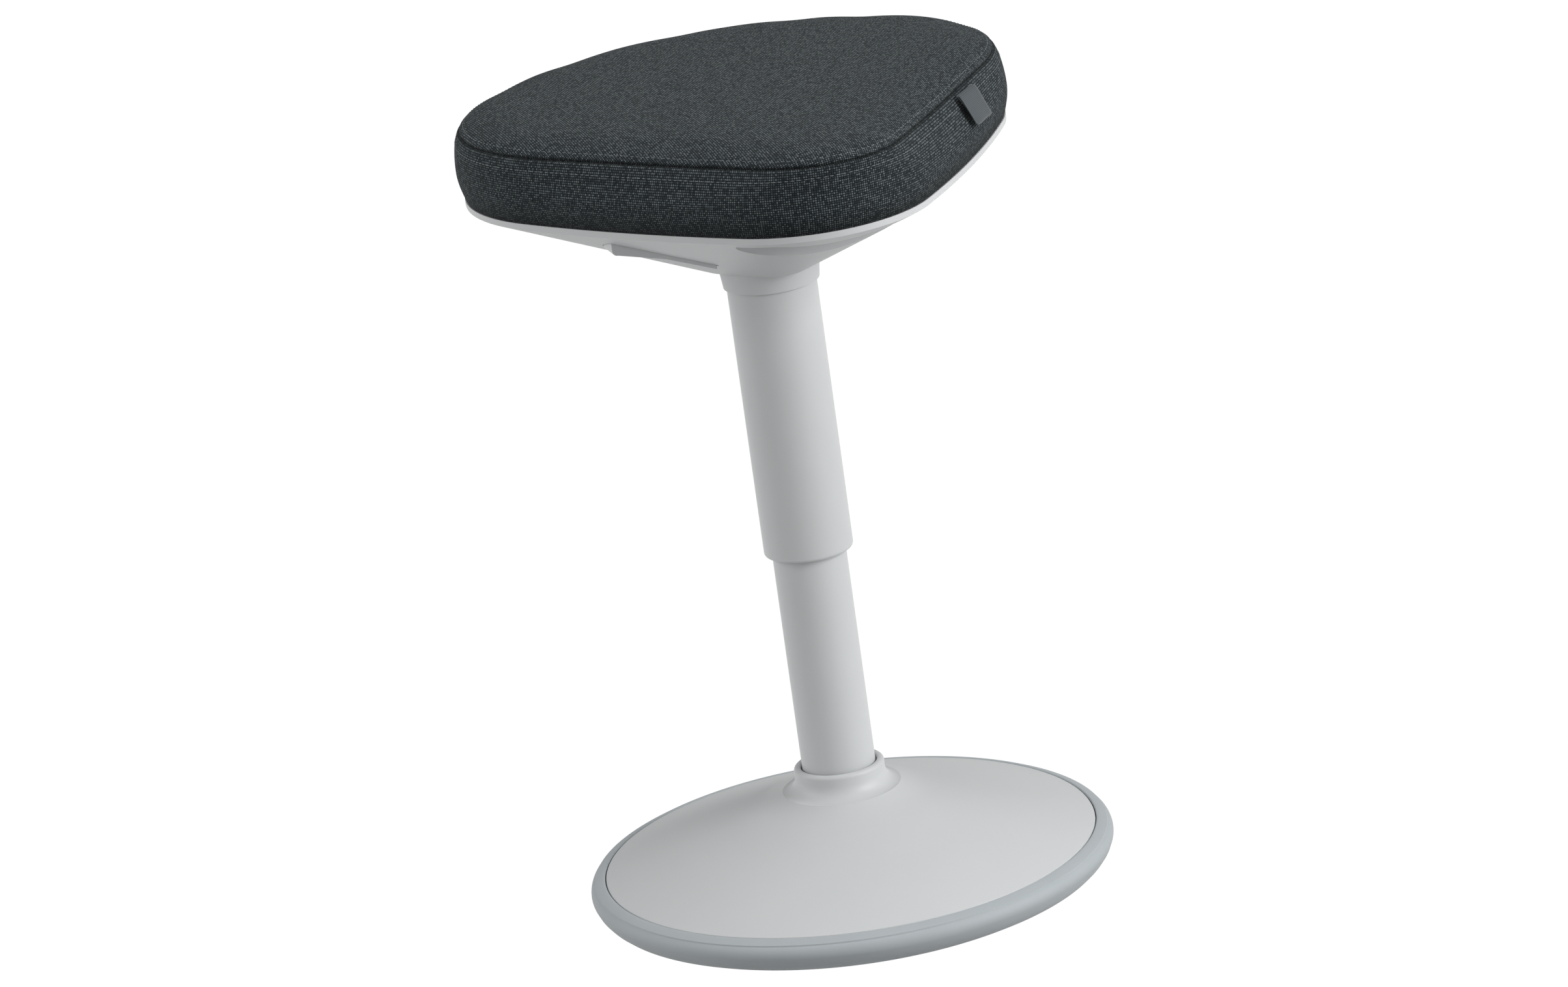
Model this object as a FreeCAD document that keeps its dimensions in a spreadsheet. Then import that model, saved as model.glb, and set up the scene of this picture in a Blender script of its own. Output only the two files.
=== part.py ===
import FreeCAD, Part
import math
import os
import re
import Sketcher

# Wobble stool: a rocking base, a telescoping column and a cushion of rounded triangular plan.
# Millimetres and degrees. +Z is up, the origin lies on the floor on the column's axis,
# and the cushion's nose points along -Y.

document = FreeCAD.newDocument("WobbleStool")
sheet = document.addObject("Spreadsheet::Sheet", "Sizes")

# Driving dimensions: name, value. Heights are measured from the floor.
SIZES = [
    # Rocking sole: flat contact disc, rounded tread and raised rim
    ("foot_radius", 75), ("sole_thickness", 5), ("tread_radius", 166.6), ("tread_height", 12.6),
    ("tread_bend", 14), ("rim_radius", 178.8), ("rim_height", 27), ("rim_bend", 9),
    ("rim_top_radius", 176.8), ("rim_top_height", 32.5), ("rim_slot", 0.5),
    # Base cover
    ("cover_radius", 167.6), ("cover_height", 36), ("cover_wall", 2.6), ("neck_radius", 38),
    ("neck_height", 80.8), ("neck_bend", 9), ("bead_radius", 30.8), ("bead_base", 89),
    ("bead_height", 97), ("bead_bend", 2.2), ("bead_gap", 0.9),
    # Base pan, weight and the screws that hold the cover
    ("pan_wall", 3), ("pan_floor", 18), ("ballast_radius", 143), ("ballast_thickness", 12),
    ("screw_circle", 150), ("screw_radius", 2), ("screw_head", 4), ("screw_head_height", 2.4),
    ("screw_land", 1.4), ("cover_boss", 5), ("cover_screws", 4), ("screw_length", 18),
    ("boss_top", 38.5),
    # Column tube with its flange, bolts and bottom plate
    ("tube_radius", 25), ("tube_wall", 2), ("tube_top", 455), ("flange_radius", 60),
    ("flange_thickness", 5), ("flange_bolts", 4), ("bolt_circle", 45), ("bolt_radius", 4),
    ("bolt_flats", 13), ("bolt_head", 5.3), ("plate_height", 57), ("plate_thickness", 4),
    # Thrust bearing of the swivel
    ("washer_thickness", 1.5), ("washer_radius", 13), ("ball_radius", 1.5), ("ball_circle", 10),
    ("ball_count", 12), ("cage_thickness", 1.6), ("cage_gap", 0.1), ("bearing_bore", 7),
    # Gas spring
    ("rod_radius", 5), ("rod_foot", 50), ("rod_shoulder", 8), ("shoulder_height", 3),
    ("rod_top", 356.5), ("piston_height", 10), ("seal_groove", 1.1), ("seal_height", 3),
    ("clip_radius", 9), ("clip_thickness", 2.2), ("bumper_radius", 12), ("bumper_height", 16),
    ("cylinder_radius", 14), ("cylinder_wall", 1.5), ("cylinder_foot", 150), ("taper_foot", 481.5),
    ("cylinder_top", 505), ("taper_top_radius", 13), ("gland_height", 16), ("valve_height", 23),
    ("valve_top", 478), ("button_radius", 3), ("button_foot", 460), ("button_cap", 6),
    ("cap_foot", 508.6), ("cap_height", 2.6), ("bushing_length", 70),
    # Outer sleeve with its glide ring and end ring
    ("sleeve_radius", 30.2), ("sleeve_wall", 1.8), ("sleeve_foot", 249), ("sleeve_lip", 3),
    ("sleeve_bend", 2.5), ("glide_height", 16), ("end_ring_foot", 478),
    # Carrier plate on the taper, with its socket, spacers, bolts and tee nuts
    ("carrier_foot", 484), ("carrier_thickness", 3), ("carrier_half_width", 70),
    ("carrier_back", 66), ("carrier_front", 66), ("notch_side", 29), ("strip_half_width", 42),
    ("notch_front", 58), ("notch_back", 33), ("socket_radius", 18), ("socket_top", 503), ("spacer_side", 55),
    ("spacer_back", 50), ("spacer_front", 22), ("spacer_radius", 6.5), ("fixing_radius", 3),
    ("fixing_gap", 0.3), ("fixing_head", 5), ("fixing_head_height", 4), ("tee_flange", 9),
    ("tee_flange_height", 1.2), ("tee_barrel", 4), ("tee_barrel_height", 9),
    # Seat plan: tangent arcs of nose, flanks, rear corners and back
    ("lip_nose", 196), ("lip_nose_radius", 84), ("lip_flank_radius", 917), ("corner_side", 58.9),
    ("corner_back", 42.2), ("lip_corner_radius", 125.5), ("lip_back_radius", 201.5),
    ("bulge_reach", 4.5), ("seam_nose", 204), ("seam_nose_radius", 60),
    ("seam_flank_radius", 6000), ("seam_corner_radius", 126.5), ("seam_back_radius", 201),
    # Under-seat shell: cone, lip band, collar, scoop, lever slots and screw posts
    ("cone_apex", 434), ("lip_foot", 513.5), ("lip_top", 517.5), ("shell_wall", 4.3),
    ("collar_foot", 438), ("collar_foot_radius", 32.3), ("collar_top", 452),
    ("collar_top_radius", 34), ("collar_gap", 0.3), ("scoop_reach", 64), ("scoop_middle", 154),
    ("scoop_half_width", 18), ("scoop_roof", 509), ("scoop_wall", 3), ("slot_gap", 1.2),
    ("slot_top", 508), ("post_radius", 6), ("post_foot", 494), ("side_post_reach", 130),
    ("side_post_back", 10), ("rear_post_reach", 70), ("rear_post_back", 120),
    ("shell_screw_radius", 2), ("shell_screw_head", 3.8), ("shell_screw_seat", 500),
    ("shell_screw_length", 27),
    # Board, foam and cover
    ("board_foot", 519.2), ("board_thickness", 12), ("board_inset", 14), ("cloth_thickness", 1.5),
    ("layer_gap", 0.3), ("hem_width", 22), ("hem_gap", 0.1), ("bulge_height", 537),
    ("seam_height", 563), ("shoulder_rise", 3.2), ("shoulder_inset", 5),
    ("brow_rise", 6.9), ("brow_inset", 17), ("crown_rise", 9.8), ("crown_share", 0.76),
    ("middle_rise", 11.4), ("middle_share", 0.5),
    ("summit_rise", 12), ("summit_share", 0.3),
    # Staples under the board
    ("staple_length", 10), ("staple_wire", 1), ("staple_count", 24), ("staple_inset", 17),
    ("staple_leg", 6),
    # Side tag
    ("tag_width", 29), ("tag_drop", 20), ("tag_thickness", 1.8), ("tag_side", 122.7),
    ("tag_front", 86.3), ("tag_turn", 49.7), ("tag_lean", 30), ("tag_top", 561.5),
    # Levers, their brackets and pins
    ("pivot_side", 30), ("pivot_height", 495), ("pin_radius", 2.5), ("running_gap", 0.05),
    ("hub_radius", 6), ("hub_front", 57.5), ("hub_back", 6), ("ear_gap", 0.5),
    ("ear_thickness", 3), ("ear_half_width", 7), ("blade_front", 54.5), ("blade_back", 36),
    ("blade_end", 119.5), ("blade_end_foot", 492.6), ("blade_end_top", 503.6),
    ("blade_root", 51), ("blade_root_foot", 469.4), ("blade_thickness", 3), ("arm_rise", 10),
    ("blade_tip", 3.4), ("blade_middle", 84.3), ("blade_middle_foot", 483.4), ("wall_root_rise", 2.6),
    ("wall_bow_side", 63.6), ("wall_bow_height", 480.2), ("wall_height", 7.8), ("finger_reach", 7),
    ("finger_foot", 511.6), ("finger_height", 5), ("finger_width", 4), ("finger_split", 1),
    ("link_radius", 1.3), ("link_gap", 0.35), ("link_slot", 5),
]
for row, (alias, size) in enumerate(SIZES, start=1):
    sheet.set("A%d" % row, alias)
    sheet.set("B%d" % row, str(size))
    sheet.setAlias("B%d" % row, alias)
document.recompute()


def value(text):
    """The number that an expression of sheet names gives."""
    return float(sheet.evalExpression(text))


def bound(text):
    """The expression with each sheet name pointing at the sheet."""
    return re.sub(r"\b([a-z]+(?:_[a-z]+)+)\b", r"Sizes.\1", text)


# Sizes that follow from the driving ones
TUBE_BORE = "(tube_radius - tube_wall)"
BALLAST_TOP = "(pan_floor + ballast_thickness)"
FLANGE_TOP = "(%s + flange_thickness)" % BALLAST_TOP
PLATE_TOP = "(plate_height + plate_thickness)"
BALL_FOOT = "(%s + washer_thickness)" % PLATE_TOP
BALL_TOP = "(%s + 2 * ball_radius)" % BALL_FOOT
UPPER_WASHER_TOP = "(%s + washer_thickness)" % BALL_TOP
CYLINDER_BORE = "(cylinder_radius - cylinder_wall)"
SLEEVE_BORE = "(sleeve_radius - sleeve_wall)"
CARRIER_TOP = "(carrier_foot + carrier_thickness)"
BOARD_TOP = "(board_foot + board_thickness)"
CONE_HEIGHT = "(lip_foot - cone_apex)"


def new_body(label):
    body = document.addObject("PartDesign::Body", label)
    body.Label = label
    return body


def origin_feature(body, role):
    return [item for item in body.Origin.OriginFeatures if item.Role == role][0]


def new_sketch(body, name, plane="XY_Plane", offset="0"):
    """A sketch on one of the body's own planes, moved along the plane's normal."""
    sketch = body.newObject("Sketcher::SketchObject", name)
    sketch.AttachmentSupport = [(origin_feature(body, plane), "")]
    sketch.MapMode = "FlatFace"
    sketch.AttachmentOffset = FreeCAD.Placement(FreeCAD.Vector(0, 0, value(offset)), FreeCAD.Rotation())
    sketch.setExpression("AttachmentOffset.Base.z", bound(offset))
    return sketch


def dimension(sketch, constraint, expression):
    """Add a dimension and bind it to the sheet."""
    index = sketch.addConstraint(constraint)
    sketch.setExpression("Constraints[%d]" % index, bound(expression))


def pin(sketch, geometry, position, across, up):
    """Fix a point of the sketch by its two distances from the sketch's origin."""
    dimension(sketch, Sketcher.Constraint("DistanceX", -1, 1, geometry, position, value(across)), across)
    dimension(sketch, Sketcher.Constraint("DistanceY", -1, 1, geometry, position, value(up)), up)


def bent_edge(start, end, radius, left):
    """The arc from start to end that bends to the left or to the right."""
    chord = end - start
    half = chord.Length / 2
    side = FreeCAD.Vector(-chord.y, chord.x, 0).normalize()
    if not left:
        side = side * -1
    centre = (start + end) * 0.5 + side * math.sqrt(radius * radius - half * half)
    middle = centre - side * radius
    return Part.Arc(start, middle, end) if left else Part.Arc(end, middle, start)


def draw(sketch, corners):
    """A closed outline. A corner is (across, up), or (across, up, radius, side) where an arc leads to it."""
    points = [FreeCAD.Vector(value(corner[0]), value(corner[1]), 0) for corner in corners]
    first = sketch.GeometryCount
    starts = []
    ends = []
    for index, corner in enumerate(corners):
        begin = points[index - 1]
        end = points[index]
        if len(corner) == 2:
            starts.append((sketch.addGeometry(Part.LineSegment(begin, end)), 1))
            ends.append((first + index, 2))
            continue
        radius = value(corner[2])
        left = corner[3] == "left"
        number = sketch.addGeometry(bent_edge(begin, end, radius, left))
        starts.append((number, 1 if left else 2))
        ends.append((number, 2 if left else 1))
        dimension(sketch, Sketcher.Constraint("Radius", number, radius), corner[2])
    for index, corner in enumerate(corners):
        following = (index + 1) % len(corners)
        sketch.addConstraint(Sketcher.Constraint("Coincident", *ends[index], *starts[following]))
        pin(sketch, ends[index][0], ends[index][1], corner[0], corner[1])


def circle(sketch, across, up, radius):
    number = sketch.addGeometry(
        Part.Circle(FreeCAD.Vector(value(across), value(up), 0), FreeCAD.Vector(0, 0, 1), value(radius)))
    pin(sketch, number, 3, across, up)
    dimension(sketch, Sketcher.Constraint("Radius", number, value(radius)), radius)


def turn(body, name, corners, groove=False):
    """Turn an outline of radius and height about the column's axis."""
    sketch = new_sketch(body, name + "_outline", "XZ_Plane")
    draw(sketch, corners)
    kind = "PartDesign::Groove" if groove else "PartDesign::Revolution"
    feature = body.newObject(kind, name)
    feature.Profile = (sketch, [""])
    feature.ReferenceAxis = (origin_feature(body, "Z_Axis"), [""])
    feature.Angle = 360
    return feature


def turned(label, corners):
    body = new_body(label)
    turn(body, label + "_turn", corners)
    return body


def ring(label, inner, outer, foot, top):
    """A plain ring or disc about the column's axis."""
    return turned(label, [(inner, foot), (outer, foot), (outer, top), (inner, top)])


def extrude(body, sketch, name, length, cut=False, reverse=False):
    feature = body.newObject("PartDesign::Pocket" if cut else "PartDesign::Pad", name)
    feature.Profile = (sketch, [""])
    feature.Length = value(length)
    feature.setExpression("Length", bound(length))
    feature.Reversed = reverse
    return feature


def post(body, name, across, up, radius, foot, top, cut=False):
    """A round post, or a round hole, from one height to another."""
    sketch = new_sketch(body, name + "_plan", "XY_Plane", foot)
    circle(sketch, across, up, radius)
    return extrude(body, sketch, name, "(%s) - (%s)" % (top, foot), cut, cut)


def around(body, name, features, count):
    """Repeat features evenly about the column's axis."""
    pattern = body.newObject("PartDesign::PolarPattern", name)
    pattern.Originals = features
    pattern.Axis = (origin_feature(body, "Z_Axis"), [""])
    pattern.Angle = 360
    pattern.Occurrences = int(value(count))
    pattern.setExpression("Occurrences", bound(count))
    body.Tip = pattern
    return pattern


# Plans of the seat. A plan holds the nose's reach and radius, the flanks' radius, the rear corners'
# radius and centre, and the back's radius.
LIP = ["lip_nose", "lip_nose_radius", "lip_flank_radius", "lip_corner_radius",
       "corner_side", "corner_back", "lip_back_radius"]
SEAM = ["seam_nose", "seam_nose_radius", "seam_flank_radius", "seam_corner_radius",
        "corner_side", "corner_back", "seam_back_radius"]


def grown(plan, distance):
    """The plan moved outward all round."""
    nose, nose_radius, flank, corner, side, back, rear = plan
    moved = ["(%s + (%s))" % (size, distance) for size in (nose, nose_radius, flank, corner, rear)]
    return moved[:4] + [side, back, moved[4]]


def shrunk(plan, distance):
    return grown(plan, "-(%s)" % distance)


def scaled(plan, share):
    return ["(%s) * (%s)" % (size, share) for size in plan]


def between(first, second, share):
    return ["((%s) * (1 - %s) + (%s) * %s)" % (a, share, b, share) for a, b in zip(first, second)]


def tangent_centre(one, one_radius, other, other_radius, radius):
    """Centre of the large circle that holds two circles and touches both, on the far left side."""
    reach_one = radius - one_radius
    reach_other = radius - other_radius
    line = other - one
    gap = line.Length
    along = (reach_one ** 2 - reach_other ** 2 + gap ** 2) / (2 * gap)
    away = math.sqrt(reach_one ** 2 - along ** 2)
    unit = line * (1 / gap)
    return one + unit * along + FreeCAD.Vector(-unit.y, unit.x, 0) * away


def draw_plan(sketch, plan):
    """Six tangent arcs: nose, right flank, right corner, back, left corner, left flank."""
    nose, nose_radius, flank, corner, side, back, rear = [value(size) for size in plan]
    nose_centre = FreeCAD.Vector(0, -(nose - nose_radius), 0)
    right = FreeCAD.Vector(side, back, 0)
    left = FreeCAD.Vector(-side, back, 0)
    rear_centre = FreeCAD.Vector(0, back - math.sqrt((rear - corner) ** 2 - side ** 2), 0)
    right_flank = tangent_centre(nose_centre, nose_radius, right, corner, flank)
    left_flank = FreeCAD.Vector(-right_flank.x, right_flank.y, 0)
    arcs = [(nose_centre, nose_radius), (right_flank, flank), (right, corner),
            (rear_centre, rear), (left, corner), (left_flank, flank)]

    def heading(large, small):
        return math.atan2(small.y - large.y, small.x - large.x)

    turns = [heading(left_flank, nose_centre), heading(right_flank, nose_centre),
             heading(right_flank, right), heading(rear_centre, right),
             heading(rear_centre, left), heading(left_flank, left)]
    for index, (centre, radius) in enumerate(arcs):
        start = turns[index]
        end = turns[(index + 1) % 6]
        while end < start:
            end += 2 * math.pi
        whole = Part.Circle(centre, FreeCAD.Vector(0, 0, 1), radius)
        sketch.addGeometry(Part.ArcOfCircle(whole, start, end))
    for index in range(6):
        sketch.addConstraint(Sketcher.Constraint("Tangent", index, 2, (index + 1) % 6, 1))
    pin(sketch, 0, 3, "0", "-((%s) - (%s))" % (plan[0], plan[1]))
    pin(sketch, 2, 3, plan[4], plan[5])
    pin(sketch, 4, 3, "-(%s)" % plan[4], plan[5])
    for index, size in ((0, plan[1]), (1, plan[2]), (5, plan[2]), (2, plan[3]), (4, plan[3]), (3, plan[6])):
        dimension(sketch, Sketcher.Constraint("Radius", index, value(size)), size)


def loft(body, name, levels, ruled=False, cut=False):
    """Loft through plans at several heights. A level is (plan, height)."""
    sketches = []
    for number, (plan, height) in enumerate(levels):
        sketch = new_sketch(body, "%s_plan_%d" % (name, number), "XY_Plane", height)
        draw_plan(sketch, plan)
        sketches.append(sketch)
    feature = body.newObject("PartDesign::SubtractiveLoft" if cut else "PartDesign::AdditiveLoft", name)
    feature.Profile = (sketches[0], [""])
    feature.Sections = [(sketch, [""]) for sketch in sketches[1:]]
    feature.Ruled = ruled
    return feature


def slab(body, name, plan, foot, top, cut=False):
    """A plan pushed straight up, as a plate or as a pocket."""
    sketch = new_sketch(body, name + "_plan", "XY_Plane", foot)
    draw_plan(sketch, plan)
    return extrude(body, sketch, name, "(%s) - (%s)" % (top, foot), cut, cut)


# Rocking sole: soft moulded cup with a flat contact disc, a rounded tread and a raised rim
SOLE_SIDE = "(cover_radius - rim_slot - sole_thickness)"
SOLE_FLOOR_TOP = "(tread_height + sole_thickness)"
turned("rubber_sole", [
    ("0", "0"), ("foot_radius", "0"), ("tread_radius", "tread_height"),
    ("rim_radius", "rim_height", "tread_bend", "left"),
    ("rim_top_radius", "rim_top_height", "rim_bend", "left"),
    ("cover_radius + rim_slot", "cover_height"), ("cover_radius + rim_slot", "rim_top_height"),
    (SOLE_SIDE, "rim_top_height"), (SOLE_SIDE, SOLE_FLOOR_TOP + " + 2"),
    ("tread_radius - 8", SOLE_FLOOR_TOP), ("foot_radius - 1", "sole_thickness"), ("0", "sole_thickness")])

# Base pan: moulded dish in the sole that carries the weight, with counterbored holes for the cover's screws
PAN_SIDE = "(%s - pan_wall)" % SOLE_SIDE
pan = turned("base_pan", [
    ("0", "sole_thickness"), ("foot_radius - 1", "sole_thickness"), ("tread_radius - 8", SOLE_FLOOR_TOP),
    (SOLE_SIDE, SOLE_FLOOR_TOP + " + 2"), (SOLE_SIDE, "rim_top_height - 1"),
    (PAN_SIDE, "rim_top_height - 1"), (PAN_SIDE, "pan_floor + pan_wall"), ("0", "pan_floor + pan_wall")])
turn(pan, "weight_seat", [("0", "pan_floor"), ("ballast_radius + layer_gap", "pan_floor"),
                          ("ballast_radius + layer_gap", "cover_height"), ("0", "cover_height")], groove=True)
SCREW_SEAT = "(pan_floor + pan_wall - screw_land)"
SCREW_FOOT = "(%s - screw_head_height)" % SCREW_SEAT
bore = post(pan, "screw_bore", "screw_circle", "0", "screw_radius + fixing_gap", "0", "cover_height", cut=True)
seat = post(pan, "screw_counterbore", "screw_circle", "0", "screw_head + fixing_gap", "0", SCREW_SEAT, cut=True)
around(pan, "screw_holes", [bore, seat], "cover_screws")

cover_screws = new_body("cover_screws")
head = post(cover_screws, "head", "screw_circle", "0", "screw_head", SCREW_FOOT, SCREW_SEAT)
shank = post(cover_screws, "shank", "screw_circle", "0", "screw_radius", SCREW_FOOT, SCREW_FOOT + " + screw_length")
around(cover_screws, "screws", [head, shank], "cover_screws")

# Cover: an almost straight cone that turns up into a rounded collar bead, with screw posts inside
BEAD_BORE = "(tube_radius + bead_gap)"
cover = turned("base_cover", [
    ("cover_radius - cover_wall", "rim_top_height"), ("cover_radius", "rim_top_height"),
    ("cover_radius", "cover_height"), ("neck_radius", "neck_height"),
    ("bead_radius", "bead_base", "neck_bend", "right"), ("bead_radius", "bead_height - bead_bend"),
    ("bead_radius - bead_bend", "bead_height", "bead_bend", "left"),
    (BEAD_BORE + " + 0.8", "bead_height"), (BEAD_BORE, "bead_height - 0.8"),
    (BEAD_BORE, "neck_height - cover_wall"), ("neck_radius - 1", "neck_height - cover_wall"),
    ("cover_radius - cover_wall", "cover_height - 1")])
boss = post(cover, "screw_post", "screw_circle", "0", "cover_boss", "pan_floor + pan_wall", "boss_top")
around(cover, "screw_posts", [boss], "cover_screws")
bite = post(cover, "screw_bite", "screw_circle", "0", "screw_radius", "pan_floor",
            SCREW_FOOT + " + screw_length", cut=True)
around(cover, "screw_bites", [bite], "cover_screws")

# Steel weight with threaded holes, and the column's flange bolted on top of it
ballast = ring("ballast_disc", "0", "ballast_radius", "pan_floor", BALLAST_TOP)
hole = post(ballast, "bolt_hole", "bolt_circle", "0", "bolt_radius", "pan_floor", BALLAST_TOP, cut=True)
around(ballast, "bolt_holes", [hole], "flange_bolts")
flange = ring("column_flange", "tube_radius", "flange_radius", BALLAST_TOP, FLANGE_TOP)
hole = post(flange, "bolt_hole", "bolt_circle", "0", "bolt_radius + fixing_gap", BALLAST_TOP, FLANGE_TOP, cut=True)
around(flange, "bolt_holes", [hole], "flange_bolts")

bolts = new_body("flange_bolts")
shank = post(bolts, "shank", "bolt_circle", "0", "bolt_radius", "pan_floor", FLANGE_TOP)
head_plan = new_sketch(bolts, "head_plan", "XY_Plane", FLANGE_TOP)
draw(head_plan, [("bolt_circle + bolt_flats / sqrt(3) * cos(%d)" % angle,
                  "bolt_flats / sqrt(3) * sin(%d)" % angle) for angle in range(0, 360, 60)])
head = extrude(bolts, head_plan, "head", "bolt_head")
around(bolts, "bolts", [shank, head], "flange_bolts")

# Column tube, its bottom plate and the swivel's thrust bearing
ring("column_tube", TUBE_BORE, "tube_radius", BALLAST_TOP, "tube_top")
ring("column_bottom_plate", "rod_radius + running_gap", TUBE_BORE, "plate_height", PLATE_TOP)
ring("lower_bearing_washer", "bearing_bore", "washer_radius", PLATE_TOP, BALL_FOOT)
ring("upper_bearing_washer", "rod_radius", "washer_radius", BALL_TOP, UPPER_WASHER_TOP)
CAGE_FOOT = "(%s + ball_radius - cage_thickness / 2)" % BALL_FOOT
CAGE_TOP = "(%s + cage_thickness)" % CAGE_FOOT
cage = ring("bearing_cage", "bearing_bore", "washer_radius", CAGE_FOOT, CAGE_TOP)
pocket = post(cage, "ball_pocket", "ball_circle", "0", "ball_radius + cage_gap", CAGE_FOOT, CAGE_TOP, cut=True)
around(cage, "ball_pockets", [pocket], "ball_count")

balls = new_body("bearing_balls")
ball_plan = new_sketch(balls, "ball_plan", "XZ_Plane")
BALL_MIDDLE = "(%s + ball_radius)" % BALL_FOOT
draw(ball_plan, [("ball_circle", BALL_MIDDLE + " - ball_radius"),
                 ("ball_circle + ball_radius", BALL_MIDDLE, "ball_radius", "left"),
                 ("ball_circle", BALL_MIDDLE + " + ball_radius", "ball_radius", "left")])
ball = balls.newObject("PartDesign::Revolution", "ball")
ball.Profile = (ball_plan, [""])
ball.ReferenceAxis = (ball_plan, ["Edge1"])
ball.Angle = 360
around(balls, "balls", [ball], "ball_count")

BUSHING_FOOT = "(tube_top - bushing_length)"
ring("guide_bushing", "cylinder_radius + running_gap", TUBE_BORE, BUSHING_FOOT, "tube_top")

# Gas spring: the rod stands on the bearing, the cylinder carries the seat
turned("piston_rod", [
    ("0", "rod_foot"), ("rod_radius", "rod_foot"), ("rod_radius", UPPER_WASHER_TOP),
    ("rod_shoulder", UPPER_WASHER_TOP), ("rod_shoulder", UPPER_WASHER_TOP + " + shoulder_height"),
    ("rod_radius", UPPER_WASHER_TOP + " + shoulder_height"), ("rod_radius", "rod_top"), ("0", "rod_top")])
BUMPER_FOOT = "(%s + shoulder_height)" % UPPER_WASHER_TOP
ring("rubber_bumper", "rod_radius", "bumper_radius", BUMPER_FOOT, BUMPER_FOOT + " + bumper_height")
ring("retaining_clip", "rod_radius", "clip_radius", "plate_height - clip_thickness - layer_gap",
     "plate_height - layer_gap")
PISTON_FOOT = "(rod_top - piston_height)"
PISTON_SIDE = "(%s - running_gap)" % CYLINDER_BORE
SEAL_FOOT = "(rod_top - piston_height / 2 - seal_height / 2)"
turned("piston", [
    ("rod_radius", PISTON_FOOT), (PISTON_SIDE, PISTON_FOOT), (PISTON_SIDE, SEAL_FOOT),
    (PISTON_SIDE + " - seal_groove", SEAL_FOOT), (PISTON_SIDE + " - seal_groove", SEAL_FOOT + " + seal_height"),
    (PISTON_SIDE, SEAL_FOOT + " + seal_height"), (PISTON_SIDE, "rod_top"), ("rod_radius", "rod_top")])
ring("piston_seal", PISTON_SIDE + " - seal_groove", PISTON_SIDE, SEAL_FOOT, SEAL_FOOT + " + seal_height")

BUTTON_BORE = "(button_radius + running_gap)"
turned("gas_cylinder", [
    (CYLINDER_BORE, "cylinder_foot"), ("cylinder_radius", "cylinder_foot"), ("cylinder_radius", "taper_foot"),
    ("taper_top_radius", "cylinder_top"), (BUTTON_BORE, "cylinder_top"), (BUTTON_BORE, "valve_top"),
    (CYLINDER_BORE, "valve_top")])
ring("rod_gland", "rod_radius + running_gap", CYLINDER_BORE, "cylinder_foot", "cylinder_foot + gland_height")
ring("valve_body", BUTTON_BORE, CYLINDER_BORE, "valve_top - valve_height", "valve_top")
turned("release_button", [
    ("0", "button_foot"), ("button_radius", "button_foot"), ("button_radius", "cap_foot"),
    ("button_cap", "cap_foot"), ("button_cap", "cap_foot + cap_height"), ("0", "cap_foot + cap_height")])

# Outer sleeve: slides over the column tube on a glide ring and hangs from the carrier by its end ring
turned("outer_sleeve", [
    ("tube_radius + bead_gap", "sleeve_foot"), ("sleeve_radius - sleeve_bend", "sleeve_foot"),
    ("sleeve_radius", "sleeve_foot + sleeve_bend", "sleeve_bend", "left"), ("sleeve_radius", "end_ring_foot"),
    (SLEEVE_BORE, "end_ring_foot"), (SLEEVE_BORE, "sleeve_foot + sleeve_lip"),
    ("tube_radius + bead_gap", "sleeve_foot + sleeve_lip")])
GLIDE_FOOT = "(sleeve_foot + sleeve_lip)"
ring("sleeve_glide", "tube_radius + running_gap", SLEEVE_BORE, GLIDE_FOOT, GLIDE_FOOT + " + glide_height")
ring("sleeve_end_ring", "cylinder_radius", "sleeve_radius", "end_ring_foot", "taper_foot")

# Carrier: a tapered socket through a flat plate whose notches clear the levers
TAPER = "((cylinder_radius - taper_top_radius) / (cylinder_top - taper_foot))"
turned("taper_socket", [
    ("cylinder_radius", "taper_foot"), ("socket_radius", "taper_foot"), ("socket_radius", "socket_top"),
    ("cylinder_radius - %s * (socket_top - taper_foot)" % TAPER, "socket_top")])
carrier = new_body("mechanism_plate")
carrier_plan = new_sketch(carrier, "carrier_plan", "XY_Plane", "carrier_foot")
draw(carrier_plan, [
    ("-carrier_half_width", "carrier_back"), ("-carrier_half_width", "-notch_back"),
    ("-notch_side", "-notch_back"), ("-notch_side", "-notch_front"),
    ("-strip_half_width", "-notch_front"), ("-strip_half_width", "-carrier_front"),
    ("strip_half_width", "-carrier_front"), ("strip_half_width", "-notch_front"),
    ("notch_side", "-notch_front"), ("notch_side", "-notch_back"),
    ("carrier_half_width", "-notch_back"), ("carrier_half_width", "carrier_back")])
extrude(carrier, carrier_plan, "plate", "carrier_thickness")
post(carrier, "socket_hole", "0", "0", "socket_radius", "carrier_foot", CARRIER_TOP, cut=True)
FIXINGS = [("spacer_side", "spacer_back"), ("-spacer_side", "spacer_back"),
           ("spacer_side", "-spacer_front"), ("-spacer_side", "-spacer_front")]


def fixings(body, name, radius, foot, top, cut=False):
    """The same post, or hole, at each of the carrier's four fixings."""
    for number, (across, up) in enumerate(FIXINGS):
        post(body, "%s_%d" % (name, number), across, up, radius, foot, top, cut)


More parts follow.
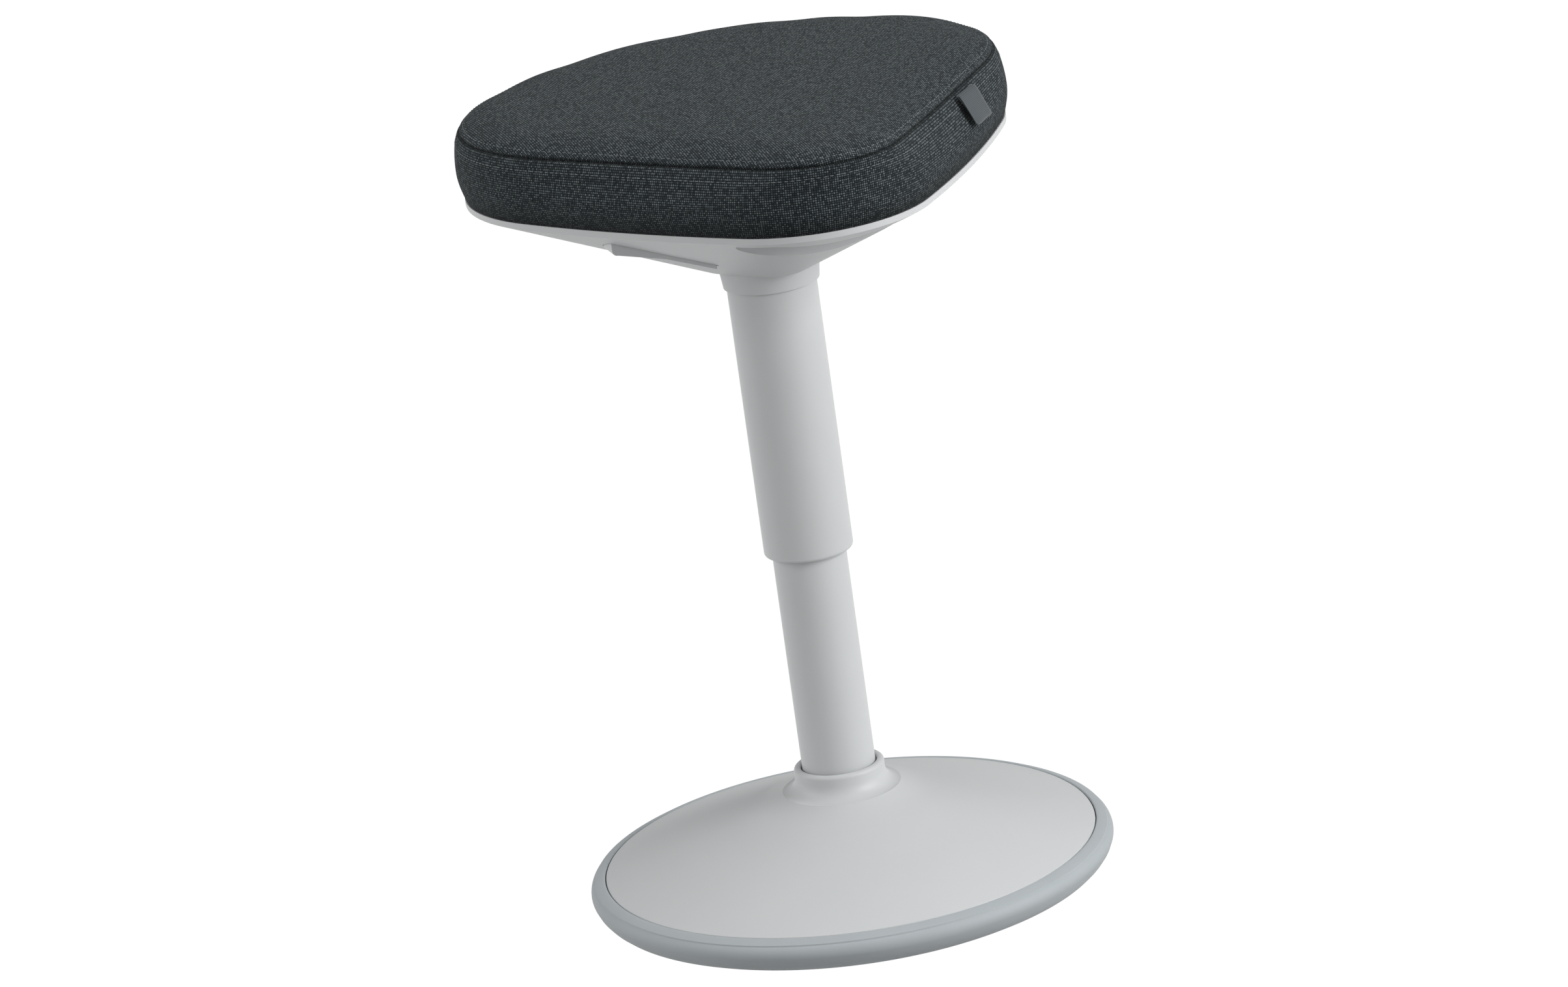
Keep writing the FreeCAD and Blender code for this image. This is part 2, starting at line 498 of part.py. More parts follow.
fixings(carrier, "fixing_hole", "fixing_radius + fixing_gap", "carrier_foot", CARRIER_TOP, cut=True)
spacers = new_body("plate_spacers")
fixings(spacers, "spacer", "spacer_radius", CARRIER_TOP, "board_foot")
fixings(spacers, "spacer_bore", "fixing_radius + fixing_gap", CARRIER_TOP, "board_foot", cut=True)
TEE_SEAT = "(%s - tee_flange_height)" % BOARD_TOP
BARREL_FOOT = "(%s - tee_barrel_height)" % BOARD_TOP
plate_bolts = new_body("plate_bolts")
fixings(plate_bolts, "head", "fixing_head", "carrier_foot - fixing_head_height", "carrier_foot")
fixings(plate_bolts, "shank", "fixing_radius", "carrier_foot - fixing_head_height", TEE_SEAT)
tee_nuts = new_body("tee_nuts")
fixings(tee_nuts, "flange", "tee_flange", TEE_SEAT, BOARD_TOP)
fixings(tee_nuts, "barrel", "tee_barrel", BARREL_FOOT, BOARD_TOP)
fixings(tee_nuts, "thread", "fixing_radius", BARREL_FOOT, TEE_SEAT, cut=True)

# Levers: each rocks on a pin between two ears, its blade in the shell's slot and its finger over the button
EARS = [("front", "hub_front + ear_gap"), ("back", "-(hub_back + ear_gap + ear_thickness)")]
EAR_FRONT = "(hub_front + ear_gap + ear_thickness)"
EAR_BACK = "(hub_back + ear_gap + ear_thickness)"
LINK_HEIGHT = "(finger_foot + finger_height / 2)"
LINK_REACH = "(link_radius + link_gap)"
for side_name, side, bend in (("right", "1", "left"), ("left", "-1", "right")):
    pivot = "(%s * pivot_side)" % side
    bracket = new_body("lever_bracket_" + side_name)
    for place, depth in EARS:
        ear_plan = new_sketch(bracket, place + "_ear_plan", "XZ_Plane", depth)
        draw(ear_plan, [
            (pivot + " - ear_half_width", CARRIER_TOP), (pivot + " + ear_half_width", CARRIER_TOP),
            (pivot + " + ear_half_width", "pivot_height"),
            (pivot, "pivot_height + ear_half_width", "ear_half_width", "left"),
            (pivot + " - ear_half_width", "pivot_height", "ear_half_width", "left")])
        extrude(bracket, ear_plan, place + "_ear", "ear_thickness")
    bore_plan = new_sketch(bracket, "pin_bore_plan", "XZ_Plane", EAR_FRONT)
    circle(bore_plan, pivot, "pivot_height", "pin_radius")
    extrude(bracket, bore_plan, "pin_bore", "%s + %s" % (EAR_FRONT, EAR_BACK), cut=True)
    lever_pin = new_body("lever_pin_" + side_name)
    pin_plan = new_sketch(lever_pin, "pin_plan", "XZ_Plane", "-" + EAR_BACK)
    circle(pin_plan, pivot, "pivot_height", "pin_radius")
    extrude(lever_pin, pin_plan, "pin", "%s + %s" % (EAR_FRONT, EAR_BACK))

    lever = new_body("lever_" + side_name)
    blade_plan = new_sketch(lever, "blade_plan", "XZ_Plane", "blade_back")
    draw(blade_plan, [
        (side + " * blade_root", "blade_root_foot"), (side + " * blade_middle", "blade_middle_foot"),
        (side + " * (blade_end - blade_tip)", "blade_end_foot"),
        (side + " * blade_end", "blade_end_foot + blade_tip", "blade_tip", bend),
        (side + " * blade_end", "blade_end_top - blade_tip"),
        (side + " * (blade_end - blade_tip)", "blade_end_top", "blade_tip", bend),
        (side + " * (blade_end - 2 * blade_tip)", "blade_end_top - blade_tip / 2"),
        (side + " * (blade_end - 3 * blade_tip)", "blade_end_foot + blade_thickness / 2"),
        (side + " * blade_middle", "blade_middle_foot + blade_thickness"),
        (side + " * (blade_root + 2 * blade_thickness)", "blade_root_foot + arm_rise + blade_thickness"),
        (side + " * (pivot_side + hub_radius)", "pivot_height"),
        (side + " * pivot_side", "pivot_height - hub_radius"),
        (side + " * blade_root", "blade_root_foot + arm_rise")])
    extrude(lever, blade_plan, "blade", "blade_front - blade_back")
    # The lever's front edge is turned up into a wall that closes the slot to the eye
    wall_plan = new_sketch(lever, "wall_plan", "XZ_Plane", "blade_front - blade_thickness")
    draw(wall_plan, [
        (side + " * (blade_root + blade_thickness / 2)", "blade_root_foot + blade_thickness"),
        (side + " * blade_middle", "blade_middle_foot + blade_thickness / 2"),
        (side + " * (blade_end - blade_tip)", "blade_end_foot + blade_thickness / 2"),
        (side + " * (blade_end - blade_tip)", "blade_end_top - blade_tip / 2"),
        (side + " * blade_middle", "blade_middle_foot + wall_height"),
        (side + " * wall_bow_side", "wall_bow_height"),
        (side + " * (blade_root + blade_thickness)", "blade_root_foot + blade_thickness + wall_root_rise")])
    extrude(lever, wall_plan, "wall", "blade_thickness")
    hub_plan = new_sketch(lever, "hub_plan", "XZ_Plane", "-hub_back")
    circle(hub_plan, pivot, "pivot_height", "hub_radius")
    extrude(lever, hub_plan, "hub", "hub_front + hub_back")
    finger_offset = "-(finger_split + finger_width)" if side == "1" else "finger_split"
    finger_plan = new_sketch(lever, "finger_plan", "XZ_Plane", finger_offset)
    draw(finger_plan, [
        (side + " * (pivot_side + hub_radius - 1)", "pivot_height"),
        (side + " * (pivot_side + hub_radius - 1)", "finger_foot"),
        (side + " * (pivot_side + hub_radius - 1 - finger_height)", "finger_foot + finger_height"),
        (side + " * -finger_reach", "finger_foot + finger_height"), (side + " * -finger_reach", "finger_foot"),
        (side + " * (pivot_side - hub_radius - finger_height)", "finger_foot"),
        (side + " * (pivot_side - hub_radius + 1)", "pivot_height")])
    extrude(lever, finger_plan, "finger", "finger_width")
    if side == "1":
        link_plan = new_sketch(lever, "link_plan", "XZ_Plane", "-finger_split")
        circle(link_plan, "0", LINK_HEIGHT, "link_radius")
        extrude(lever, link_plan, "link", "2 * finger_split + finger_width")
    else:
        slot_plan = new_sketch(lever, "slot_plan", "XZ_Plane", "finger_split")
        draw(slot_plan, [
            ("-link_slot", LINK_HEIGHT + " - " + LINK_REACH), ("link_slot", LINK_HEIGHT + " - " + LINK_REACH),
            ("link_slot", LINK_HEIGHT + " + " + LINK_REACH), ("-link_slot", LINK_HEIGHT + " + " + LINK_REACH)])
        extrude(lever, slot_plan, "link_slot", "finger_width", cut=True, reverse=True)
    hub_bore_plan = new_sketch(lever, "hub_bore_plan", "XZ_Plane", "hub_front")
    circle(hub_bore_plan, pivot, "pivot_height", "pin_radius + running_gap")
    extrude(lever, hub_bore_plan, "hub_bore", "hub_front + hub_back", cut=True)

# Under-seat shell: a straight-sided cone of the seat's plan with a thin lip band and a collar for the sleeve
shell = new_body("seat_shell")
FOOT_SHARE = "((collar_top - cone_apex) / %s)" % CONE_HEIGHT
INNER_SHARE = "((lip_foot - cone_apex - shell_wall) / %s)" % CONE_HEIGHT
INNER_FOOT_SHARE = "((collar_top - cone_apex - shell_wall) / %s)" % CONE_HEIGHT
loft(shell, "cone", [(scaled(LIP, FOOT_SHARE), "collar_top"), (LIP, "lip_foot")], ruled=True)
slab(shell, "lip", LIP, "lip_foot", "lip_top")


def rounded_slot(sketch, reach, middle, half_width):
    """A slot across the nose with half-round ends."""
    straight = "((%s) - (%s))" % (reach, half_width)
    near = "-((%s) - (%s))" % (middle, half_width)
    far = "-((%s) + (%s))" % (middle, half_width)
    draw(sketch, [
        (straight, far), (reach, "-(%s)" % middle, half_width, "left"),
        (straight, near, half_width, "left"), ("-" + straight, near),
        ("-(%s)" % reach, "-(%s)" % middle, half_width, "left"),
        ("-" + straight, far, half_width, "left")])


# The room inside the shell, which leaves a block of material round the finger scoop
room = new_body("shell_room")
loft(room, "room_cone", [(scaled(LIP, INNER_FOOT_SHARE), "collar_top"), (scaled(LIP, INNER_SHARE), "lip_foot")],
     ruled=True)
slab(room, "room_mouth", scaled(LIP, INNER_SHARE), "lip_foot", "lip_top")
block_plan = new_sketch(room, "block_plan", "XY_Plane", "scoop_roof + scoop_wall")
rounded_slot(block_plan, "scoop_reach + scoop_wall", "scoop_middle", "scoop_half_width + scoop_wall")
extrude(room, block_plan, "block", "scoop_roof - collar_top", cut=True)
hollow = shell.newObject("PartDesign::Boolean", "hollow")
hollow.Type = "Cut"
hollow.Group = [room]
shell.Tip = hollow
scoop_plan = new_sketch(shell, "scoop_plan", "XY_Plane", "scoop_roof")
rounded_slot(scoop_plan, "scoop_reach", "scoop_middle", "scoop_half_width")
extrude(shell, scoop_plan, "scoop", "scoop_roof - collar_top", cut=True)
for side_name, side in (("right", "1"), ("left", "-1")):
    slot_plan = new_sketch(shell, side_name + "_slot_plan", "XY_Plane", "slot_top")
    draw(slot_plan, [
        (side + " * (blade_root - slot_gap)", "-(blade_back - slot_gap)"),
        (side + " * (blade_root - slot_gap)", "-(blade_front + slot_gap)"),
        (side + " * (blade_end + slot_gap)", "-(blade_front + slot_gap)"),
        (side + " * (blade_end + slot_gap)", "-(blade_back - slot_gap)")])
    extrude(shell, slot_plan, side_name + "_slot", "slot_top - collar_top", cut=True)
turn(shell, "collar", [
    ("sleeve_radius + collar_gap", "collar_foot"), ("collar_foot_radius", "collar_foot"),
    ("collar_top_radius", "collar_top"), ("sleeve_radius + collar_gap", "collar_top + shell_wall")])
turn(shell, "collar_bore", [
    ("0", "collar_foot - 1"), ("sleeve_radius + collar_gap", "collar_foot - 1"),
    ("sleeve_radius + collar_gap", "end_ring_foot"), ("0", "end_ring_foot")], groove=True)
POSTS = [("side_post_reach", "side_post_back"), ("-side_post_reach", "side_post_back"),
         ("rear_post_reach", "rear_post_back"), ("-rear_post_reach", "rear_post_back")]
shell_screws = new_body("shell_screws")
for number, (across, up) in enumerate(POSTS):
    post(shell, "post_%d" % number, across, up, "post_radius", "post_foot", "board_foot")
    post(shell, "post_bore_%d" % number, across, up, "shell_screw_radius + fixing_gap",
         "collar_top", "board_foot", cut=True)
    post(shell, "post_seat_%d" % number, across, up, "shell_screw_head + fixing_gap",
         "collar_top", "shell_screw_seat", cut=True)
    post(shell_screws, "screw_head_%d" % number, across, up, "shell_screw_head",
         "shell_screw_seat - screw_head_height", "shell_screw_seat")
    post(shell_screws, "screw_shank_%d" % number, across, up, "shell_screw_radius",
         "shell_screw_seat - screw_head_height", "shell_screw_seat + shell_screw_length")

# Plywood board with holes for the tee nuts and the shell's screws
board = new_body("seat_board")
slab(board, "board", shrunk(LIP, "board_inset"), "board_foot", BOARD_TOP)
fixings(board, "tee_seat", "tee_flange", TEE_SEAT, BOARD_TOP, cut=True)
fixings(board, "tee_hole", "tee_barrel", BARREL_FOOT, BOARD_TOP, cut=True)
fixings(board, "bolt_hole", "tee_barrel", "board_foot", BARREL_FOOT, cut=True)
for number, (across, up) in enumerate(POSTS):
    post(board, "screw_bite_%d" % number, across, up, "shell_screw_radius", "board_foot",
         "shell_screw_seat + shell_screw_length", cut=True)

# Cushion: side band from the lip out over a bulge and in to the seam, then the crowned top
BULGE = grown(LIP, "bulge_reach")
LOW_BULGE = grown(LIP, "bulge_reach * 0.6")
HEM_FOOT = "(board_foot - cloth_thickness - hem_gap)"
SEAM_RISE = "(seam_height - bulge_height)"
BAND = [(LIP, HEM_FOOT), (LOW_BULGE, "board_foot + 7"), (BULGE, "bulge_height")]
for share in (0.3, 0.55, 0.8, 1):
    # The band draws in to the seam along a quarter wave
    drawn = 1 - math.cos(math.radians(90 * share))
    BAND.append((between(BULGE, SEAM, drawn), "bulge_height + %s * %s" % (SEAM_RISE, share)))
TOP = [(SEAM, "seam_height"), (shrunk(SEAM, "shoulder_inset * 0.4"), "seam_height + shoulder_rise * 0.6"),
       (shrunk(SEAM, "shoulder_inset"), "seam_height + shoulder_rise"),
       (shrunk(SEAM, "brow_inset"), "seam_height + brow_rise"),
       (scaled(SEAM, "crown_share"), "seam_height + crown_rise"),
       (scaled(SEAM, "middle_share"), "seam_height + middle_rise"),
       (scaled(SEAM, "summit_share"), "seam_height + summit_rise")]


def inner_levels(levels, inset, drop):
    """The same form drawn in, and lowered above the seam."""
    return [(shrunk(plan, inset), "(%s) - (%s)" % (height, drop)) for plan, height in levels]


foam = new_body("foam_pad")
FOAM_INSET = "(cloth_thickness + layer_gap)"
foam_levels = [(shrunk(LIP, FOAM_INSET), "board_foot")] + inner_levels(BAND[1:-1], FOAM_INSET, "0")
foam_levels += inner_levels(TOP, FOAM_INSET, FOAM_INSET)
loft(foam, "pad", foam_levels, ruled=True)
slab(foam, "board_room", shrunk(LIP, "board_inset - layer_gap"), "board_foot", BOARD_TOP, cut=True)

band = new_body("cover_side_band")
loft(band, "band", BAND, ruled=True)
loft(band, "band_room", inner_levels(BAND, "cloth_thickness", "0"), ruled=True, cut=True)
slab(band, "hem", shrunk(LIP, "layer_gap"), HEM_FOOT, HEM_FOOT + " + cloth_thickness")
slab(band, "hem_mouth", shrunk(LIP, "hem_width"), HEM_FOOT, HEM_FOOT + " + cloth_thickness", cut=True)

top_panel = new_body("cover_top_panel")
loft(top_panel, "panel", TOP, ruled=True)
panel_room = [(shrunk(SEAM, "cloth_thickness"), "seam_height")]
panel_room += inner_levels(TOP[1:], "cloth_thickness", "cloth_thickness")
loft(top_panel, "panel_room", panel_room, ruled=True, cut=True)

# Side tag: a small folded strip sewn into the seam beside the nose, hanging over the band
tag = document.addObject("Part::Box", "side_tag")
tag.Label = "side_tag"
for side_of_box, expression in (("Length", "tag_width"), ("Width", "tag_thickness"), ("Height", "tag_drop")):
    tag.setExpression(side_of_box, bound(expression))
turned_flat = FreeCAD.Rotation(FreeCAD.Vector(0, 0, 1), value("tag_turn"))
leaned = FreeCAD.Rotation(FreeCAD.Vector(1, 0, 0), -value("tag_lean"))
tag.Placement = FreeCAD.Placement(
    FreeCAD.Vector(value("tag_side"), -value("tag_front"), value("tag_top")), turned_flat.multiply(leaned)
).multiply(FreeCAD.Placement(
    FreeCAD.Vector(-value("tag_width") / 2, -value("tag_thickness"), -value("tag_drop")), FreeCAD.Rotation()))

# Staples: small wire bridges that hold the hem up against the board, spaced round the plan
def staple_places():
    """A point and a heading for each staple, evenly round the hem."""
    guide = document.addObject("Sketcher::SketchObject", "staple_guide")
    draw_plan(guide, shrunk(LIP, "staple_inset"))
    document.recompute()
    count = int(value("staple_count"))
    points = guide.Shape.Wires[0].discretize(Number=8 * count + 1)
    document.removeObject(guide.Name)
    places = []
    for start, after in zip(points[0:8 * count:8], points[1::8]):
        places.append((start, math.degrees(math.atan2(after.y - start.y, after.x - start.x))))
    return places


def staple_shape(length, wire, leg, seat):
    crown = Part.makeBox(length, wire, wire, FreeCAD.Vector(-length / 2, -wire / 2, seat - wire))
    legs = [Part.makeBox(wire, wire, leg + wire, FreeCAD.Vector(across, -wire / 2, seat - wire))
            for across in (-length / 2, length / 2 - wire)]
    return crown.fuse(legs).removeSplitter()


staples = document.addObject("Part::Feature", "staples")
staples.Label = "staples"
one_staple = staple_shape(value("staple_length"), value("staple_wire"), value("staple_leg"), value(HEM_FOOT))
copies = []
for spot, heading in staple_places():
    copy = one_staple.copy()
    copy.Placement = FreeCAD.Placement(spot, FreeCAD.Rotation(FreeCAD.Vector(0, 0, 1), heading))
    copies.append(copy)
staples.Shape = Part.makeCompound(copies)
staples.Placement = FreeCAD.Placement()

# Build everything, check it and write one file for each piece
document.recompute()
tools = {member.Name for item in document.Objects if item.TypeId == "PartDesign::Boolean" for member in item.Group}
pieces = [item for item in document.Objects
          if item.TypeId in ("PartDesign::Body", "Part::Feature", "Part::Box") and item.Name not in tools]
faults = ["%s: %s" % (item.Label, item.State) for item in document.Objects
          if "Invalid" in item.State or "Error" in item.State]
for item in pieces:
    if item.Shape.isNull() or not item.Shape.isValid():
        faults.append("%s: shape is null or not valid" % item.Label)
if faults:
    raise RuntimeError("; ".join(faults))
os.makedirs("parts", exist_ok=True)
for item in pieces:
    item.Shape.exportStep("parts/%s.step" % item.Label)
    print("%-24s %10.1f mm3  solids %d" % (item.Label, item.Shape.Volume, len(item.Shape.Solids)))
print("%d pieces" % len(pieces))
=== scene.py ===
import math

import bmesh
import bpy
import numpy as np
from mathutils import Matrix, Vector


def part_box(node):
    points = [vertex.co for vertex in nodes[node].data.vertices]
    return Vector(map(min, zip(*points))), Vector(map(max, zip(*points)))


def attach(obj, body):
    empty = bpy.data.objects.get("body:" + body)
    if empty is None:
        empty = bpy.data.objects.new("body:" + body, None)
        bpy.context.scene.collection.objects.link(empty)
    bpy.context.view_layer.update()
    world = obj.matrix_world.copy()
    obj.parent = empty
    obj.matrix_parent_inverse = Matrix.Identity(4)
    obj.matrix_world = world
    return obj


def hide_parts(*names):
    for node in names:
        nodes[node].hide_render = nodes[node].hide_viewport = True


# Wobble stool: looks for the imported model. Metres, +Z up, the cushion's nose points along -Y.

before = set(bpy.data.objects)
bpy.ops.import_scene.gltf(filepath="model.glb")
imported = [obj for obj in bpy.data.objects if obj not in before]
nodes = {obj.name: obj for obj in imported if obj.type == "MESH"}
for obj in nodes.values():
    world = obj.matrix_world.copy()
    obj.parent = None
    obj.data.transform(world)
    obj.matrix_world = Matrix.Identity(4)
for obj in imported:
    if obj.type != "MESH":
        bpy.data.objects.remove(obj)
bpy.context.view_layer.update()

# Rocking sole. A soft moulded cup of thermoplastic rubber, stretched over the base pan.
# Its rim stands round the cover behind a thin dark gap. It is turned here from the rim's
# own profile, so that the rolled edge stays smooth.


def srgb(code):
    """A hex colour as linear red, green, blue and alpha."""
    parts = [int(code[place:place + 2], 16) / 255 for place in (1, 3, 5)]
    return [part / 12.92 if part < 0.04045 else ((part + 0.055) / 1.055) ** 2.4 for part in parts] + [1]


def add_node(tree, kind, settings=None, values=None, links=None):
    """Add a node, set its properties and sockets, and link sockets from others."""
    made = tree.nodes.new(kind)
    for name, setting in (settings or {}).items():
        setattr(made, name, setting)
    for name, number in (values or {}).items():
        made.inputs[name].default_value = number
    for name, source in (links or {}).items():
        tree.links.new(source, made.inputs[name])
    return made


def start_material(name, **shader_values):
    """A material with a Principled shader, and the coordinates of the piece itself."""
    material = bpy.data.materials.new(name)
    material.use_nodes = True
    tree = material.node_tree
    shader = tree.nodes["Principled BSDF"]
    for socket, number in shader_values.items():
        shader.inputs[socket.replace("_", " ")].default_value = number
    place = add_node(tree, "ShaderNodeTexCoord").outputs["Object"]
    return material, tree, shader, place


def mottle(tree, shader, place, light, dark, size_mm, roughness, spread):
    """Colour and gloss that drift a little over patches of a real size."""
    patches = add_node(tree, "ShaderNodeTexNoise", values={"Scale": 1000 / size_mm, "Detail": 3},
                       links={"Vector": place})
    shade = add_node(tree, "ShaderNodeMix", {"data_type": "RGBA"}, {6: srgb(dark), 7: srgb(light)},
                     {0: patches.outputs["Fac"]})
    tree.links.new(shade.outputs[2], shader.inputs["Base Color"])
    gloss = add_node(tree, "ShaderNodeMapRange",
                     values={"To Min": roughness - spread, "To Max": roughness + spread},
                     links={"Value": patches.outputs["Fac"]})
    tree.links.new(gloss.outputs["Result"], shader.inputs["Roughness"])


def grain(tree, shader, place, size_mm, depth_mm, strength):
    """A fine moulded or sprayed grain, as bump."""
    pits = add_node(tree, "ShaderNodeTexNoise", values={"Scale": 1000 / size_mm, "Detail": 2},
                    links={"Vector": place})
    bump = add_node(tree, "ShaderNodeBump", values={"Strength": strength, "Distance": depth_mm / 1000},
                    links={"Height": pits.outputs["Fac"]})
    tree.links.new(bump.outputs["Normal"], shader.inputs["Normal"])


def dress(material, *names):
    """Give carried-over CAD nodes their finish."""
    for name in names:
        mesh = nodes[name].data
        mesh.materials.clear()
        mesh.materials.append(material)


def lathe(name, profile, material, body, *replaced, steps=256):
    """Turn a closed profile of radius and height in millimetres about the column's axis."""
    mesh = bpy.data.meshes.new(name)
    shape = bmesh.new()
    turns = [2 * math.pi * step / steps for step in range(steps)]
    rings = [[shape.verts.new((r * math.cos(a) / 1000, r * math.sin(a) / 1000, z / 1000))
              for a in (turns if r else [0])] * (1 if r else steps) for r, z in profile]
    for low, high in zip(rings, rings[1:] + rings[:1]):
        for step in range(steps):
            after = (step + 1) % steps
            corners = list(dict.fromkeys((low[step], low[after], high[after], high[step])))
            if len(corners) > 2:
                shape.faces.new(corners)
    bmesh.ops.recalc_face_normals(shape, faces=shape.faces)
    shape.to_mesh(mesh)
    shape.free()
    mesh.shade_smooth()
    mesh.set_sharp_from_angle(angle=math.radians(32))
    mesh.materials.append(material)
    piece = bpy.data.objects.new(name, mesh)
    bpy.context.scene.collection.objects.link(piece)
    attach(piece, body)
    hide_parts(*replaced)


def bend(centre, radius, start, end, count=10):
    """Points of an arc in the profile's plane, angles in degrees from outward to up."""
    angles = [math.radians(start + (end - start) * step / count) for step in range(count + 1)]
    return [(centre[0] + radius * math.cos(a), centre[1] + radius * math.sin(a)) for a in angles]


# Thermoplastic rubber, matt from the mould: a soft broad sheen, slightly blue beside the plastic.
# The profile's points are radius and height in millimetres, as in all turned pieces here.
rubber, tree, shader, place = start_material("moulded_thermoplastic_rubber", IOR=1.5, Sheen_Weight=0.15)
mottle(tree, shader, place, "#B4BABD", "#ACB3B6", 40, 0.62, 0.05)
grain(tree, shader, place, 0.7, 0.03, 0.35)
SOLE_RIM = [(168.3, 30), (168.3, 35.6)]
SOLE_RIM += [(168.9, 36.1), (170.5, 36.0), (175.4, 33.6)]
SOLE_RIM += bend((171.6, 26.6), 7.3, 56, -18, 12)
SOLE_RIM += [(176.9, 20.6), (174.6, 17.6), (171.4, 14.8), (166.6, 12.6)]
SOLE_FOOT = [(0, 0), (74.5, 0), (76.5, 0.15)]
SOLE_INSIDE = [(160, 28), (157, 18), (0, 6)]
lathe("rocking_sole", SOLE_FOOT + SOLE_RIM[::-1] + SOLE_INSIDE, rubber, "base", "rubber_sole")

# Base cover. One injection-moulded cone of light grey ABS that turns up into a rounded collar
# bead round the column. It is clipped and screwed down from below, so no fixing shows.

# Acrylonitrile butadiene styrene, spark-eroded mould: an even, fine, matt grain
abs_grey, tree, shader, place = start_material("moulded_abs_light_grey", IOR=1.52)
mottle(tree, shader, place, "#D3D5D6", "#CFD1D2", 60, 0.47, 0.03)
grain(tree, shader, place, 0.8, 0.02, 0.25)
COVER = [(164.6, 33), (167.2, 33), (167.6, 33.4), (167.6, 35.2), (167.2, 36.0), (166.2, 36.5)]
COVER += [(110, 55.6), (60, 72.6), (41, 79.6)]
COVER += bend((40.9, 90.2), 10.1, -92, -180, 12)
COVER += [(30.8, 93.6)] + bend((28.1, 94.3), 2.7, 0, 90, 8) + bend((27.3, 95.6), 1.4, 90, 180, 6)
COVER += [(25.9, 78), (37, 76.5), (60, 69.6), (110, 52.6), (164.6, 33.6)]
lathe("base_cover_moulding", COVER, abs_grey, "base", "base_cover")

# Column tube and outer sleeve. Two drawn steel tubes, the sleeve with a rolled lower lip,
# both powder coated to match the mouldings.

# Polyester powder coat on steel: closed, slightly rippled skin with a soft gloss
powder, tree, shader, place = start_material("powder_coated_steel_tube", IOR=1.5, Coat_Weight=0.1)
mottle(tree, shader, place, "#D2D4D5", "#CDCFD0", 50, 0.42, 0.03)
grain(tree, shader, place, 1.2, 0.015, 0.2)
tube_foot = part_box("column_tube")[0].z * 1000
TUBE = [(23, tube_foot), (25, tube_foot), (25, 454), (24.2, 455), (23, 455)]
lathe("column_tube_drawn", TUBE, powder, "base", "column_tube", steps=128)
SLEEVE = [(26.4, 249.6), (27.2, 249)] + bend((27.6, 251.6), 2.6, -90, 0, 8)
SLEEVE += [(30.2, 478), (28.4, 478), (28.4, 252.5), (26.4, 252.2)]
lathe("outer_sleeve_drawn", SLEEVE, powder, "lift", "outer_sleeve", steps=128)

# Under-seat shell and levers. The shell is moulded in the same grey ABS, the levers in a
# slightly glossier nylon. They are the CAD nodes themselves, dressed here.
dress(abs_grey, "seat_shell")

# Polyamide, polished mould: the same grey with a brighter gloss where fingers pull
nylon, tree, shader, place = start_material("moulded_polyamide_lever", IOR=1.53)
mottle(tree, shader, place, "#D9DBDC", "#D4D6D7", 30, 0.36, 0.03)
grain(tree, shader, place, 0.9, 0.01, 0.15)
dress(nylon, "lever_left", "lever_right")

# Steel parts of the base, bearing and carrier. Zinc plated pressings and screws, a cast
# weight, a polished rod and balls, and the gas cylinder's black paint.

# Zinc plate, passivated: a dull silver with cloudy patches
zinc, tree, shader, place = start_material("zinc_plated_steel", Metallic=1)
mottle(tree, shader, place, "#C4C7C8", "#A9ADAF", 6, 0.36, 0.08)
dress(zinc, "column_flange", "flange_bolts", "cover_screws", "column_bottom_plate", "lower_bearing_washer",
      "upper_bearing_washer", "retaining_clip", "taper_socket", "mechanism_plate", "plate_spacers",
      "plate_bolts", "tee_nuts", "lever_bracket_right", "lever_bracket_left", "lever_pin_right",
      "lever_pin_left", "shell_screws", "staples")

# Hard chrome, ground: nearly a mirror
chrome, tree, shader, place = start_material("ground_hard_chrome", Metallic=1)
mottle(tree, shader, place, "#E2E3E4", "#D6D8DA", 10, 0.12, 0.03)
dress(chrome, "bearing_balls", "piston_rod")

# Grey iron, as cast: coarse dark skin
iron, tree, shader, place = start_material("grey_cast_iron", Metallic=0.8)
mottle(tree, shader, place, "#5A5B5C", "#454647", 5, 0.62, 0.08)
grain(tree, shader, place, 1.5, 0.15, 0.6)
dress(iron, "ballast_disc")

# Stoving enamel: smooth gloss black
enamel, tree, shader, place = start_material("black_stoving_enamel", IOR=1.5, Coat_Weight=0.3)
mottle(tree, shader, place, "#191A1B", "#131415", 20, 0.3, 0.04)
dress(enamel, "gas_cylinder")

# Plastic and rubber inside. The dish is recycled polypropylene, the bearings acetal, and the
# bumper and seal nitrile rubber.

# Polypropylene, black regrind: dull and faintly streaked
regrind, tree, shader, place = start_material("recycled_polypropylene", IOR=1.49)
mottle(tree, shader, place, "#37393A", "#2C2E2F", 15, 0.55, 0.06)
dress(regrind, "base_pan")

# Acetal: waxy black
acetal, tree, shader, place = start_material("black_acetal", IOR=1.48)
mottle(tree, shader, place, "#202122", "#17181A", 8, 0.38, 0.04)
dress(acetal, "guide_bushing", "sleeve_glide", "sleeve_end_ring", "bearing_cage", "rod_gland", "piston")

# Nitrile rubber: dead matt black
nitrile, tree, shader, place = start_material("nitrile_rubber", IOR=1.52)
mottle(tree, shader, place, "#1C1C1D", "#141415", 6, 0.8, 0.05)
dress(nitrile, "rubber_bumper", "piston_seal")

# Turned aluminium: fine bright rings
turned, tree, shader, place = start_material("turned_aluminium", Metallic=1)
mottle(tree, shader, place, "#D5D7D8", "#BFC2C4", 2, 0.28, 0.06)
dress(turned, "valve_body", "release_button")

# Seat board. Nine-ply birch, cut to the cushion's plan and left raw.

